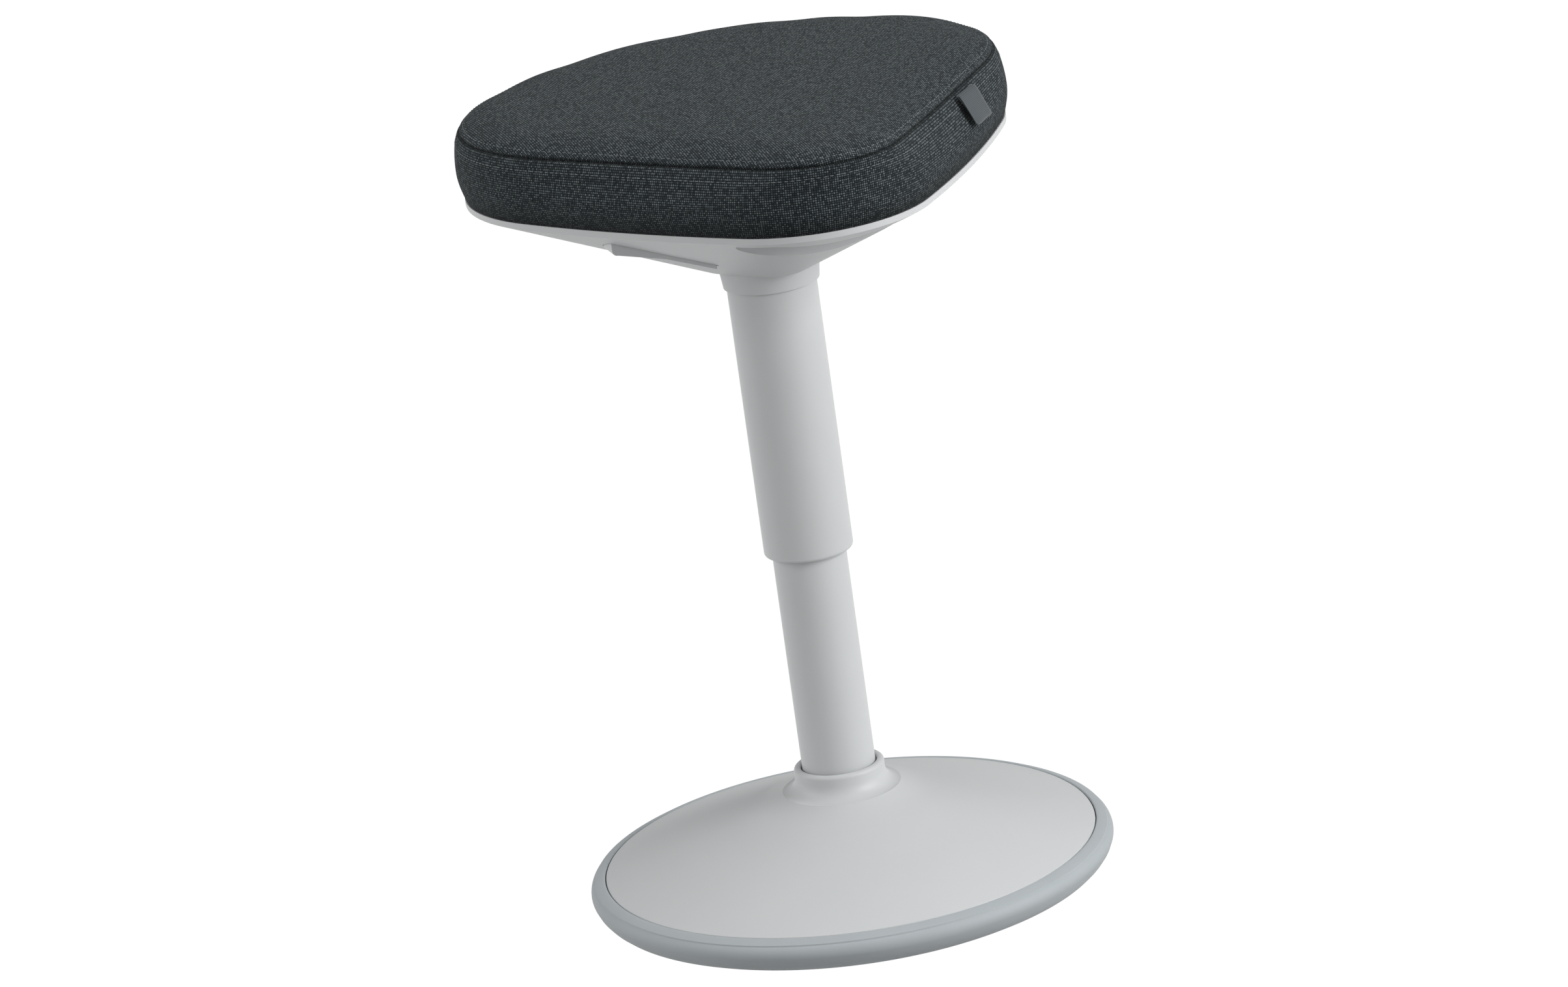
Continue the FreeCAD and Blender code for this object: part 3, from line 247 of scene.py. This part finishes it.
# Birch plywood: pale face grain and darker glue lines between the plies
birch, tree, shader, place = start_material("birch_plywood", IOR=1.5)
plies = add_node(tree, "ShaderNodeTexWave", {"wave_type": "BANDS", "bands_direction": "Z"},
                 {"Scale": 122, "Distortion": 0.4}, {"Vector": place})
ply_shade = add_node(tree, "ShaderNodeMix", {"data_type": "RGBA"},
                     {6: srgb("#A98657"), 7: srgb("#D6B98A")}, {0: plies.outputs["Fac"]})
tree.links.new(ply_shade.outputs[2], shader.inputs["Base Color"])
shader.inputs["Roughness"].default_value = 0.6
dress(birch, "seat_board")

# Cushion. Moulded foam on the board, under a cover of two panels: a side band that rises from
# the shell's lip over a bulge, and a crowned top sewn to it. The hem is stapled under the board.
# The form starts a little small and is blown up by a cloth simulation, then gets its seam.
# Heights and reaches are in millimetres until a ring is made.
AROUND = 176
LIP_TOP = 517.6
BAND_HEIGHT = 45.4
BULGE_RISE = 19.4
TOP_REACH = 165
STRAIGHT_INSET = 17
# The top rises quickly at the seam, then slowly, then as a flat dome: height and reach of each
SHOULDER_RISE, SHOULDER_REACH = 2.4, 4
BROW_RISE, BROW_REACH = 5.9, 16
DOME_RISE = 2.6
# Plans: nose reach and radius, flank, rear corner, corner's centre aside and back, back
LIP_PLAN = np.array([195.2, 83.2, 916, 124.7, 58.9, 42.2, 200.7])
BULGE_PLAN = np.array([199.4, 87.4, 920, 128.9, 58.9, 42.2, 204.9])
SEAM_PLAN = np.array([203.2, 59.2, 5999, 125.7, 58.9, 42.2, 200.2])
# What an even inset takes off: every reach and radius, and neither place of the corner's centre
EVEN_INSET = np.array([1, 1, 1, 1, 0, 0, 1])


def plan_points(plan, count):
    """Points evenly round the cushion's plan: nose, flank, rear corner and back as tangent arcs."""
    nose, nose_radius, flank, corner, side, back, rear = plan
    nose_centre = np.array([0, -(nose - nose_radius)])
    corner_centre = np.array([side, back])
    rear_centre = np.array([0, back - math.sqrt((rear - corner) ** 2 - side ** 2)])
    gap = corner_centre - nose_centre
    length = np.linalg.norm(gap)
    along = ((flank - nose_radius) ** 2 - (flank - corner) ** 2 + length ** 2) / (2 * length)
    away = math.sqrt((flank - nose_radius) ** 2 - along ** 2)
    unit = gap / length
    flank_centre = nose_centre + unit * along + np.array([-unit[1], unit[0]]) * away
    turns = [-math.pi / 2]
    joined = ((nose_centre, flank_centre), (corner_centre, flank_centre), (corner_centre, rear_centre))
    for inner, outer in joined:
        turns.append(math.atan2(inner[1] - outer[1], inner[0] - outer[0]))
    turns.append(math.pi / 2)
    arcs = [(nose_centre, nose_radius), (flank_centre, flank), (corner_centre, corner),
            (rear_centre, rear)]
    half = []
    for (centre, radius), start, end in zip(arcs, turns, turns[1:]):
        angles = np.linspace(start, end, 90)
        half.append(centre + radius * np.stack([np.cos(angles), np.sin(angles)], 1))
    half = np.concatenate(half)
    whole = np.concatenate([half, half[::-1] * [-1, 1]])
    run = np.concatenate([[0], np.cumsum(np.linalg.norm(np.diff(whole, axis=0), axis=1))])
    spots = np.linspace(0, run[-1], count, endpoint=False)
    return np.stack([np.interp(spots, run, whole[:, 0]), np.interp(spots, run, whole[:, 1])], 1)


def cushion_ring(way, count):
    """One ring, by its way from the seam in mm: below zero down the band, above zero across the top."""
    if way <= 0:
        rise = LIP_TOP + BAND_HEIGHT + way
        if rise < LIP_TOP + BULGE_RISE:
            swell = math.sin((rise - LIP_TOP) / BULGE_RISE * math.pi / 2)
            plan = LIP_PLAN * (1 - swell) + BULGE_PLAN * swell
        else:
            share = 1 + way / (BAND_HEIGHT - BULGE_RISE)
            drawn = 1 - math.cos(share * math.pi / 2)
            plan = BULGE_PLAN * (1 - drawn) + SEAM_PLAN * drawn
        flat = plan_points(plan, count)
    else:
        straight = min(way, STRAIGHT_INSET)
        flat = plan_points(SEAM_PLAN - EVEN_INSET * straight, count)
        flat = flat * (1 - (way - straight) / (TOP_REACH - STRAIGHT_INSET))
        rise = SHOULDER_RISE * (1 - math.exp(-way / SHOULDER_REACH))
        rise += BROW_RISE * (1 - math.exp(-way / BROW_REACH))
        rise += DOME_RISE * (1 - (1 - way / TOP_REACH) ** 2) + LIP_TOP + BAND_HEIGHT
    return np.concatenate([flat, np.full((count, 1), rise)], 1) / 1000


def ring_mesh(name, grid):
    """A closed mesh from rings, with a flat face at each end."""
    rows, count, _ = grid.shape
    mesh = bpy.data.meshes.new(name)
    faces = []
    for row in range(rows - 1):
        for step in range(count):
            after = (step + 1) % count
            faces.append((row * count + step, row * count + after,
                          (row + 1) * count + after, (row + 1) * count + step))
    faces.append(tuple((rows - 1) * count + step for step in range(count)))
    faces.append(tuple(count - 1 - step for step in range(count)))
    mesh.from_pydata(grid.reshape(-1, 3).tolist(), [], faces)
    mesh.update()
    return mesh


# The cover while it is blown up: hard to stretch, with the foam's push as pressure
CLOTH_SETTINGS = {"quality": 6, "mass": 0.3, "tension_stiffness": 40, "compression_stiffness": 40,
                  "bending_stiffness": 5, "use_pressure": True, "uniform_pressure_force": 4,
                  "vertex_group_mass": "hem"}
LAST_FRAME = 20
EVENING_SWEEPS = 6
PUFF_CAP = 0.0013


def blow_up(ways):
    """Blow the cover up as cloth with its hem held, and return how far each ring point moved."""
    grid = np.array([cushion_ring(way, AROUND) for way in ways])
    pad = bpy.data.objects.new("cushion_trial", ring_mesh("cushion_trial", grid))
    bpy.context.scene.collection.objects.link(pad)
    held = pad.vertex_groups.new(name="hem")
    held.add(list(range(AROUND * 2)), 1.0, "REPLACE")
    cloth = pad.modifiers.new("cover", "CLOTH")
    cloth.collision_settings.use_collision = False
    cloth.settings.effector_weights.gravity = 0
    for name, setting in CLOTH_SETTINGS.items():
        setattr(cloth.settings, name, setting)
    scene = bpy.context.scene
    for step in range(1, LAST_FRAME + 1):
        scene.frame_set(step)
    blown = pad.evaluated_get(bpy.context.evaluated_depsgraph_get()).to_mesh()
    moved = np.array([vertex.co for vertex in blown.vertices]).reshape(grid.shape) - grid
    scene.frame_set(1)
    bpy.data.objects.remove(pad)
    # The foam under it evens the cloth out
    for sweep in range(EVENING_SWEEPS):
        moved = (moved * 2 + np.roll(moved, 1, 1) + np.roll(moved, -1, 1)) / 4
        moved[1:-1] = (moved[1:-1] * 2 + moved[:-2] + moved[2:]) / 4
    reach = np.linalg.norm(moved, axis=2, keepdims=True)
    return moved * np.minimum(1, PUFF_CAP / np.maximum(reach, 1e-9))


# The shown mesh is four times as fine as the blown one, with most rings beside the seam
FINER = 4
FINE_AROUND = AROUND * FINER
NEAR_SEAM = [-3.5, -2.4, -1.6, -1.0, -0.6, -0.3, 0, 0.3, 0.7, 1.2, 1.8, 2.5, 3.5, 5, 6.7, 8.5,
             10.5, 12.7, 15, 17, 20]
fine_ways = np.concatenate([np.linspace(-BAND_HEIGHT, -5, 24), NEAR_SEAM, np.linspace(23, 163, 48)])
coarse_ways = np.concatenate([np.linspace(-BAND_HEIGHT, 0, 12), [4, 9, 16], np.linspace(24, 162, 18)])
fine = np.array([cushion_ring(way, FINE_AROUND) for way in fine_ways])
moved = blow_up(coarse_ways)
rows = np.interp(fine_ways, coarse_ways, np.arange(len(coarse_ways)))
low = np.minimum(rows.astype(int), len(coarse_ways) - 2)
part = (rows - low)[:, None, None]
by_row = moved[low] * (1 - part) + moved[low + 1] * part
left = np.arange(FINE_AROUND) // FINER
part = (np.arange(FINE_AROUND) % FINER / FINER)[None, :, None]
fine = fine + by_row[:, left] * (1 - part) + by_row[:, (left + 1) % AROUND] * part

# The seam pulls the cloth in along its line, sharply at the line and softly beside it: how deep
# in metres, and how far from the line in millimetres
GROOVE_DEPTH, GROOVE_WIDTH = 0.0020, 0.9
DIP_DEPTH, DIP_WIDTH = 0.0010, 5
DOWNWARD_SHARE = 0.35
# How far from the line the painted shade along the seam reaches, in millimetres
SHADE_WIDTH = 1.0
for row, way in enumerate(fine_ways):
    pull = GROOVE_DEPTH * math.exp(-(way / GROOVE_WIDTH) ** 2)
    pull += DIP_DEPTH * math.exp(-(way / DIP_WIDTH) ** 2)
    outward = fine[row, :, :2] - fine[row, :, :2].mean(0)
    outward /= np.maximum(np.linalg.norm(outward, axis=1, keepdims=True), 1e-6)
    fine[row, :, :2] -= outward * pull
    fine[row, :, 2] -= pull * DOWNWARD_SHARE
cushion_mesh = ring_mesh("cushion", fine)

# How deep each point lies in the seam's groove, as the weight of the painted shade along the seam
seam_shade_layer = cushion_mesh.attributes.new("seam_shade_weight", "FLOAT", "POINT")
seam_shade_layer.data.foreach_set("value", np.repeat(np.exp(-(fine_ways / SHADE_WIDTH) ** 2), FINE_AROUND))

# The cloth's own coordinates, in metres along the cloth: out from the middle over the top, and
# round and up the band
cloth_map = cushion_mesh.uv_layers.new(name="cloth")
seam_row = int(np.argmin(abs(fine_ways)))
seam_line = np.concatenate([fine[seam_row], fine[seam_row][:1]])
band_run = np.concatenate([[0], np.cumsum(np.linalg.norm(np.diff(seam_line, axis=0), axis=1))])
band_rise = np.concatenate([[0], np.cumsum(np.linalg.norm(np.diff(fine[:, 0], axis=0), axis=1))])
crown_run = np.linalg.norm(np.diff(fine[::-1], axis=0), axis=2)
crown_run = np.concatenate([np.linalg.norm(fine[-1:, :, :2], axis=2), crown_run]).cumsum(0)[::-1]
crown_headings = fine[:, :, :2] / np.linalg.norm(fine[:, :, :2], axis=2, keepdims=True)
crown_map = crown_headings * crown_run[:, :, None]
for face in cushion_mesh.polygons:
    places = [divmod(corner, FINE_AROUND) for corner in face.vertices]
    on_band = max(row for row, step in places) <= seam_row
    steps = [step for row, step in places]
    wraps = len(steps) == 4 and max(steps) - min(steps) > 1
    for loop, (row, step) in zip(face.loop_indices, places):
        if on_band:
            step = FINE_AROUND if wraps and step == 0 else step
            cloth_map.data[loop].uv = (band_run[step], band_rise[row])
        else:
            cloth_map.data[loop].uv = crown_map[row, step]
cushion_mesh.shade_smooth()

# Polyester plain weave of thick two-tone yarn: a coarse basket of crossing threads, flecked
# light where the pale ply of the yarn turns up. Threads lie 1.5 mm apart, drawn as they show.
THREAD_MM = 1.5
weave, tree, shader, _ = start_material("woven_polyester_two_tone", IOR=1.46, Sheen_Weight=0.04,
                                        Sheen_Roughness=0.5, Specular_IOR_Level=0.15, Roughness=0.9)
cloth_place = add_node(tree, "ShaderNodeUVMap", {"uv_map": "cloth"}).outputs["UV"]
threads = add_node(tree, "ShaderNodeVectorMath", {"operation": "SCALE"}, {"Scale": 1000 / THREAD_MM},
                   {0: cloth_place})
split = add_node(tree, "ShaderNodeSeparateXYZ", links={0: threads.outputs[0]})


def thread_wave(source):
    """A rounded ridge for each thread."""
    half_turns = add_node(tree, "ShaderNodeMath", {"operation": "MULTIPLY"}, {1: math.pi}, {0: source})
    wave = add_node(tree, "ShaderNodeMath", {"operation": "SINE"}, links={0: half_turns.outputs[0]})
    return wave.outputs[0]


# Where warp and weft cross, one of them lies on top
warp = thread_wave(split.outputs["X"])
weft = thread_wave(split.outputs["Y"])
crossing = add_node(tree, "ShaderNodeMath", {"operation": "MULTIPLY"}, links={0: warp, 1: weft})
over = add_node(tree, "ShaderNodeMath", {"operation": "ABSOLUTE"}, links={0: crossing.outputs[0]})
sign = add_node(tree, "ShaderNodeMapRange", values={"From Min": -0.25, "From Max": 0.25},
                links={"Value": crossing.outputs[0]})
# Its shade is a fleck of its own, mixed with streaks along the yarn
cell = add_node(tree, "ShaderNodeVectorMath", {"operation": "FLOOR"}, links={0: threads.outputs[0]})
fleck = add_node(tree, "ShaderNodeTexWhiteNoise", {"noise_dimensions": "2D"},
                 links={"Vector": cell.outputs[0]})
long_place = add_node(tree, "ShaderNodeMapping", values={"Scale": (260, 900, 1)},
                      links={"Vector": cloth_place})
streak = add_node(tree, "ShaderNodeTexNoise", values={"Scale": 1.0, "Detail": 2},
                  links={"Vector": long_place.outputs[0]})
yarn = add_node(tree, "ShaderNodeMix", {"data_type": "FLOAT"}, {0: 0.45},
                {2: fleck.outputs["Value"], 3: streak.outputs["Fac"]})
brightness = add_node(tree, "ShaderNodeMath", {"operation": "MULTIPLY"},
                      links={0: yarn.outputs[0], 1: over.outputs[0]})
tone = add_node(tree, "ShaderNodeValToRGB", links={"Fac": brightness.outputs[0]})
tone.color_ramp.elements[0].position = 0.0
tone.color_ramp.elements[0].color = srgb("#12171A")
tone.color_ramp.elements[1].position = 0.7
tone.color_ramp.elements[1].color = srgb("#7C8486")
middle_stop = tone.color_ramp.elements.new(0.28)
middle_stop.color = srgb("#383F42")
# Close to the hem the cloth turns under and lies in the fold's shade, which is painted here: the colour
# darkens down to 0.45 times towards the lip
own_place = add_node(tree, "ShaderNodeTexCoord").outputs["Object"]
own_height = add_node(tree, "ShaderNodeSeparateXYZ", links={0: own_place}).outputs["Z"]
hem_painted_shade = add_node(tree, "ShaderNodeMapRange", {"interpolation_type": "SMOOTHSTEP"},
                {"From Min": 0.5165, "From Max": 0.533, "To Min": 0.45, "To Max": 1.0},
                {"Value": own_height})
shaded = add_node(tree, "ShaderNodeVectorMath", {"operation": "SCALE"},
                  links={0: tone.outputs["Color"], "Scale": hem_painted_shade.outputs["Result"]})
# Painted shade along the seam: the cloth's colour is darkened down to 0.3 times in the groove
seam_shade_lookup = add_node(tree, "ShaderNodeAttribute", {"attribute_name": "seam_shade_weight"})
groove_shade = add_node(tree, "ShaderNodeMapRange", values={"To Min": 1.0, "To Max": 0.3},
                        links={"Value": seam_shade_lookup.outputs["Fac"]})
seam_shaded_colour = add_node(tree, "ShaderNodeVectorMath", {"operation": "SCALE"},
                links={0: shaded.outputs[0], "Scale": groove_shade.outputs["Result"]})
tree.links.new(seam_shaded_colour.outputs[0], shader.inputs["Base Color"])
height = add_node(tree, "ShaderNodeMath", {"operation": "MULTIPLY"}, {1: 0.6}, {0: over.outputs[0]})
relief = add_node(tree, "ShaderNodeMath", {"operation": "ADD"},
                  links={0: height.outputs[0], 1: sign.outputs[0]})
bump = add_node(tree, "ShaderNodeBump", values={"Strength": 0.7, "Distance": 0.00035},
                links={"Height": relief.outputs[0]})
tree.links.new(bump.outputs["Normal"], shader.inputs["Normal"])
cushion_mesh.materials.append(weave)
cushion = bpy.data.objects.new("cushion", cushion_mesh)
bpy.context.scene.collection.objects.link(cushion)
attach(cushion, "lift")
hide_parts("foam_pad", "cover_side_band", "cover_top_panel")

# Topstitching. Two rows of fine grey thread hold the seam's turnings flat, one on the top panel and
# one on the band. Each stitch is a short bead that dips into the cloth at its ends.


def row_line(way):
    """A closed line round the cushion at a way from the seam."""
    row = float(np.interp(way, fine_ways, np.arange(len(fine_ways))))
    low = min(int(row), len(fine_ways) - 2)
    part = row - low
    return fine[low] * (1 - part) + fine[low + 1] * part


def stitch_tree():
    """Geometry Nodes: beads of thread set along a line."""
    tree = bpy.data.node_groups.new("topstitch", "GeometryNodeTree")
    tree.is_modifier = True
    tree.interface.new_socket("Geometry", in_out="INPUT", socket_type="NodeSocketGeometry")
    for name, size in (("Stitch length", 0.0026), ("Pitch", 0.0042), ("Thread radius", 0.00028)):
        socket = tree.interface.new_socket(name, in_out="INPUT", socket_type="NodeSocketFloat")
        socket.default_value = size
    tree.interface.new_socket("Thread", in_out="INPUT", socket_type="NodeSocketMaterial")
    tree.interface.new_socket("Geometry", in_out="OUTPUT", socket_type="NodeSocketGeometry")
    given = add_node(tree, "NodeGroupInput").outputs
    line = add_node(tree, "GeometryNodeMeshToCurve", links={"Mesh": given["Geometry"]})
    spots = add_node(tree, "GeometryNodeCurveToPoints", {"mode": "LENGTH"},
                     links={"Curve": line.outputs[0], "Length": given["Pitch"]})
    bead = add_node(tree, "GeometryNodeMeshUVSphere", values={"Segments": 6, "Rings": 5, "Radius": 1.0})
    half = add_node(tree, "ShaderNodeMath", {"operation": "MULTIPLY"}, {1: 0.5},
                    {0: given["Stitch length"]})
    size = add_node(tree, "ShaderNodeCombineXYZ",
                    links={"X": given["Thread radius"], "Y": given["Thread radius"], "Z": half.outputs[0]})
    placed = add_node(tree, "GeometryNodeInstanceOnPoints",
                      links={"Points": spots.outputs["Points"], "Instance": bead.outputs["Mesh"],
                             "Rotation": spots.outputs["Rotation"], "Scale": size.outputs[0]})
    real = add_node(tree, "GeometryNodeRealizeInstances", links={0: placed.outputs[0]})
    finished = add_node(tree, "GeometryNodeSetMaterial",
                        links={"Geometry": real.outputs[0], "Material": given["Thread"]})
    add_node(tree, "NodeGroupOutput", links={"Geometry": finished.outputs[0]})
    return tree


# Bonded polyester thread: mid grey, twisted, with a soft gloss
thread, tree, shader, place = start_material("bonded_polyester_thread", IOR=1.5)
mottle(tree, shader, place, "#7F8688", "#666D6F", 2, 0.55, 0.05)
stitching = stitch_tree()
STITCH_ROWS = {"topstitch_upper": 5, "topstitch_lower": -8}
ring_edges = [(step, (step + 1) % FINE_AROUND) for step in range(FINE_AROUND)]
for name, way in STITCH_ROWS.items():
    line_mesh = bpy.data.meshes.new(name + "_line")
    line_mesh.from_pydata(row_line(way).tolist(), ring_edges, [])
    guide = bpy.data.objects.new(name + "_line", line_mesh)
    bpy.context.scene.collection.objects.link(guide)
    sewing = guide.modifiers.new("sewing", "NODES")
    sewing.node_group = stitching
    for socket in stitching.interface.items_tree:
        if socket.item_type == "SOCKET" and socket.in_out == "INPUT" and socket.name == "Thread":
            sewing[socket.identifier] = thread
    sewn_guide = guide.evaluated_get(bpy.context.evaluated_depsgraph_get())
    stitched = bpy.data.meshes.new_from_object(sewn_guide)
    bpy.data.objects.remove(guide)
    stitched.shade_smooth()
    stitches = bpy.data.objects.new(name, stitched)
    bpy.context.scene.collection.objects.link(stitches)
    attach(stitches, "lift")

# Side tag. A folded ribbon of tight satin weave, sewn into the seam beside the nose so that
# both its ends are caught and its fold hangs over the band. It is bare.
TAG_MIDDLE = Vector((0.1221, -0.0859, 0.5615))
TAG_TURN = math.radians(49.7)
TAG_ALONG = Vector((math.cos(TAG_TURN), math.sin(TAG_TURN), 0))
TAG_OUT = Vector((TAG_ALONG.y, -TAG_ALONG.x, 0))
TAG_WIDTH = 0.029
TAG_DROP = 0.0205
LAYER_GAP = 0.0016
FOLD_SWELL = 0.0004
TAG_LEAN_OUT = 0.0108
CLEAR_OF_BAND = 0.0013
TAG_WAVE = 0.0005
TAG_SLANT = 0.0012
TAG_ROWS = 24
TAG_COLUMNS = 12
tag_rows = []
for step in range(TAG_ROWS + 1):
    # Down the inner layer, round the fold and up the outer layer
    part = step / TAG_ROWS
    drop = TAG_DROP * (1 - abs(2 * part - 1) ** 1.15)
    apart = LAYER_GAP * (part - 0.5) + FOLD_SWELL * math.sin(2 * math.pi * part)
    curl = TAG_LEAN_OUT * (drop / TAG_DROP) ** 0.8
    tag_rows.append((drop, apart + curl + CLEAR_OF_BAND))
tag_shape = bmesh.new()
tag_grid = []
for drop, out in tag_rows:
    line = []
    for step in range(TAG_COLUMNS + 1):
        across = (step / TAG_COLUMNS - 0.5) * TAG_WIDTH
        wave = TAG_WAVE * math.sin(step / TAG_COLUMNS * math.pi * 1.5 + 0.4) * (drop / TAG_DROP)
        point = TAG_MIDDLE + TAG_ALONG * (across + TAG_SLANT * drop / TAG_DROP) + TAG_OUT * (out + wave)
        line.append(tag_shape.verts.new(point + Vector((0, 0, -drop))))
    tag_grid.append(line)
for upper, lower in zip(tag_grid, tag_grid[1:]):
    for step in range(TAG_COLUMNS):
        tag_shape.faces.new((upper[step], lower[step], lower[step + 1], upper[step + 1]))
tag_mesh = bpy.data.meshes.new("side_tag_folded")
tag_shape.to_mesh(tag_mesh)
tag_shape.free()
tag_mesh.shade_smooth()

# Polyester satin ribbon: close fine ribs 0.5 mm apart, a little brighter than the cushion
ribbon, tree, shader, place = start_material("satin_ribbon", IOR=1.5, Sheen_Weight=0.2, Roughness=0.6)
ribs = add_node(tree, "ShaderNodeTexWave", {"wave_type": "BANDS", "bands_direction": "Z"},
                {"Scale": 320, "Distortion": 0.2}, {"Vector": place})
rib_shade = add_node(tree, "ShaderNodeMix", {"data_type": "RGBA"},
                     {6: srgb("#343B3F"), 7: srgb("#475054")}, {0: ribs.outputs["Fac"]})
tree.links.new(rib_shade.outputs[2], shader.inputs["Base Color"])
rib_bump = add_node(tree, "ShaderNodeBump", values={"Strength": 0.4, "Distance": 0.0001},
                    links={"Height": ribs.outputs["Fac"]})
tree.links.new(rib_bump.outputs["Normal"], shader.inputs["Normal"])
tag_mesh.materials.append(ribbon)
side_tag = bpy.data.objects.new("side_tag_folded", tag_mesh)
bpy.context.scene.collection.objects.link(side_tag)
ply = side_tag.modifiers.new("ply", "SOLIDIFY")
ply.thickness = 0.0005
ply.offset = 0
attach(side_tag, "lift")
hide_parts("side_tag")

# Floor, lights and camera. The photograph looks from a little to the left of the nose and a
# little above, with a long lens. Its camera is rolled, which is why the stool leans there.
FLOOR_REACH = 12.0
FLOOR_HEIGHT = -0.0005
FLOOR_SIDES = ((-1, -1), (1, -1), (1, 1), (-1, 1))
floor_mesh = bpy.data.meshes.new("floor")
floor_mesh.from_pydata([(x * FLOOR_REACH, y * FLOOR_REACH, FLOOR_HEIGHT) for x, y in FLOOR_SIDES],
                       [], [(0, 1, 2, 3)])
floor_paint = bpy.data.materials.new("white_studio_floor")
floor_paint.use_nodes = True
tree = floor_paint.node_tree
floor_shader = tree.nodes["Principled BSDF"]
floor_shader.inputs["Base Color"].default_value = srgb("#A8A8A8")
floor_shader.inputs["Roughness"].default_value = 0.9
# The camera and reflections see it nearly white, and the rest of its share keeps the shadow
ray = add_node(tree, "ShaderNodeLightPath").outputs
seen = add_node(tree, "ShaderNodeMath", {"operation": "MAXIMUM"},
                links={0: ray["Is Camera Ray"], 1: ray["Is Glossy Ray"]})
share = add_node(tree, "ShaderNodeMath", {"operation": "MULTIPLY"}, {1: 0.96}, {0: seen.outputs[0]})
white = add_node(tree, "ShaderNodeEmission", values={"Color": (1, 1, 1, 1), "Strength": 1.05})
blend = add_node(tree, "ShaderNodeMixShader", links={0: share.outputs[0], 1: floor_shader.outputs[0],
                                                      2: white.outputs[0]})
tree.links.new(blend.outputs[0], tree.nodes["Material Output"].inputs["Surface"])
floor_mesh.materials.append(floor_paint)
floor = bpy.data.objects.new("floor", floor_mesh)
bpy.context.scene.collection.objects.link(floor)

world = bpy.data.worlds.new("studio")
bpy.context.scene.world = world
world.use_nodes = True
tree = world.node_tree
backdrop = tree.nodes["Background"]
backdrop.inputs["Color"].default_value = (1, 1, 1, 1)
WORLD_LIGHT = 0.33
ray = add_node(tree, "ShaderNodeLightPath").outputs
seen = add_node(tree, "ShaderNodeMath", {"operation": "MAXIMUM"},
                links={0: ray["Is Camera Ray"], 1: ray["Is Transmission Ray"]})
power = add_node(tree, "ShaderNodeMapRange", values={"To Min": WORLD_LIGHT, "To Max": 1.0},
                 links={"Value": seen.outputs[0]})
tree.links.new(power.outputs["Result"], backdrop.inputs["Strength"])


LAMP_AIM = Vector((0, 0, 0.3))


def soft_box(name, place, size, watts):
    """A square studio lamp that looks at the stool's middle."""
    lamp = bpy.data.lights.new(name, "AREA")
    lamp.size = size
    lamp.energy = watts
    box = bpy.data.objects.new(name, lamp)
    bpy.context.scene.collection.objects.link(box)
    box.location = place
    box.rotation_mode = "QUATERNION"
    box.rotation_quaternion = (LAMP_AIM - Vector(place)).to_track_quat("-Z", "Y")


soft_box("key_lamp", (2.3, -2.0, 1.7), 1.8, 80)
soft_box("edge_lamp", (-2.8, 0.7, 1.5), 1.8, 30)
soft_box("top_lamp", (0.2, -0.4, 3.0), 2.0, 20)

CAMERA_AZIMUTH = -15.86
CAMERA_ELEVATION = 17.23
CAMERA_DISTANCE = 4.9247
CAMERA_AIM = Vector((-0.0109, 0.0031, 0.2904))
CAMERA_ROLL = -8.0
LENS_MM = 168.9
camera_data = bpy.data.cameras.new("camera")
camera_data.lens = LENS_MM
camera_data.sensor_width = 36
camera_data.clip_end = 60
camera = bpy.data.objects.new("camera", camera_data)
bpy.context.scene.collection.objects.link(camera)
turn = math.radians(CAMERA_AZIMUTH)
rise = math.radians(CAMERA_ELEVATION)
back = Vector((math.sin(turn) * math.cos(rise), -math.cos(turn) * math.cos(rise), math.sin(rise)))
camera.rotation_mode = "QUATERNION"
camera.location = CAMERA_AIM + back * CAMERA_DISTANCE
level_view = (-back).to_track_quat("-Z", "Y").to_matrix()
roll = Matrix.Rotation(math.radians(CAMERA_ROLL), 3, "Z")
camera.rotation_quaternion = (level_view @ roll).to_quaternion()
bpy.context.scene.camera = camera
bpy.context.scene.view_settings.view_transform = "Standard"
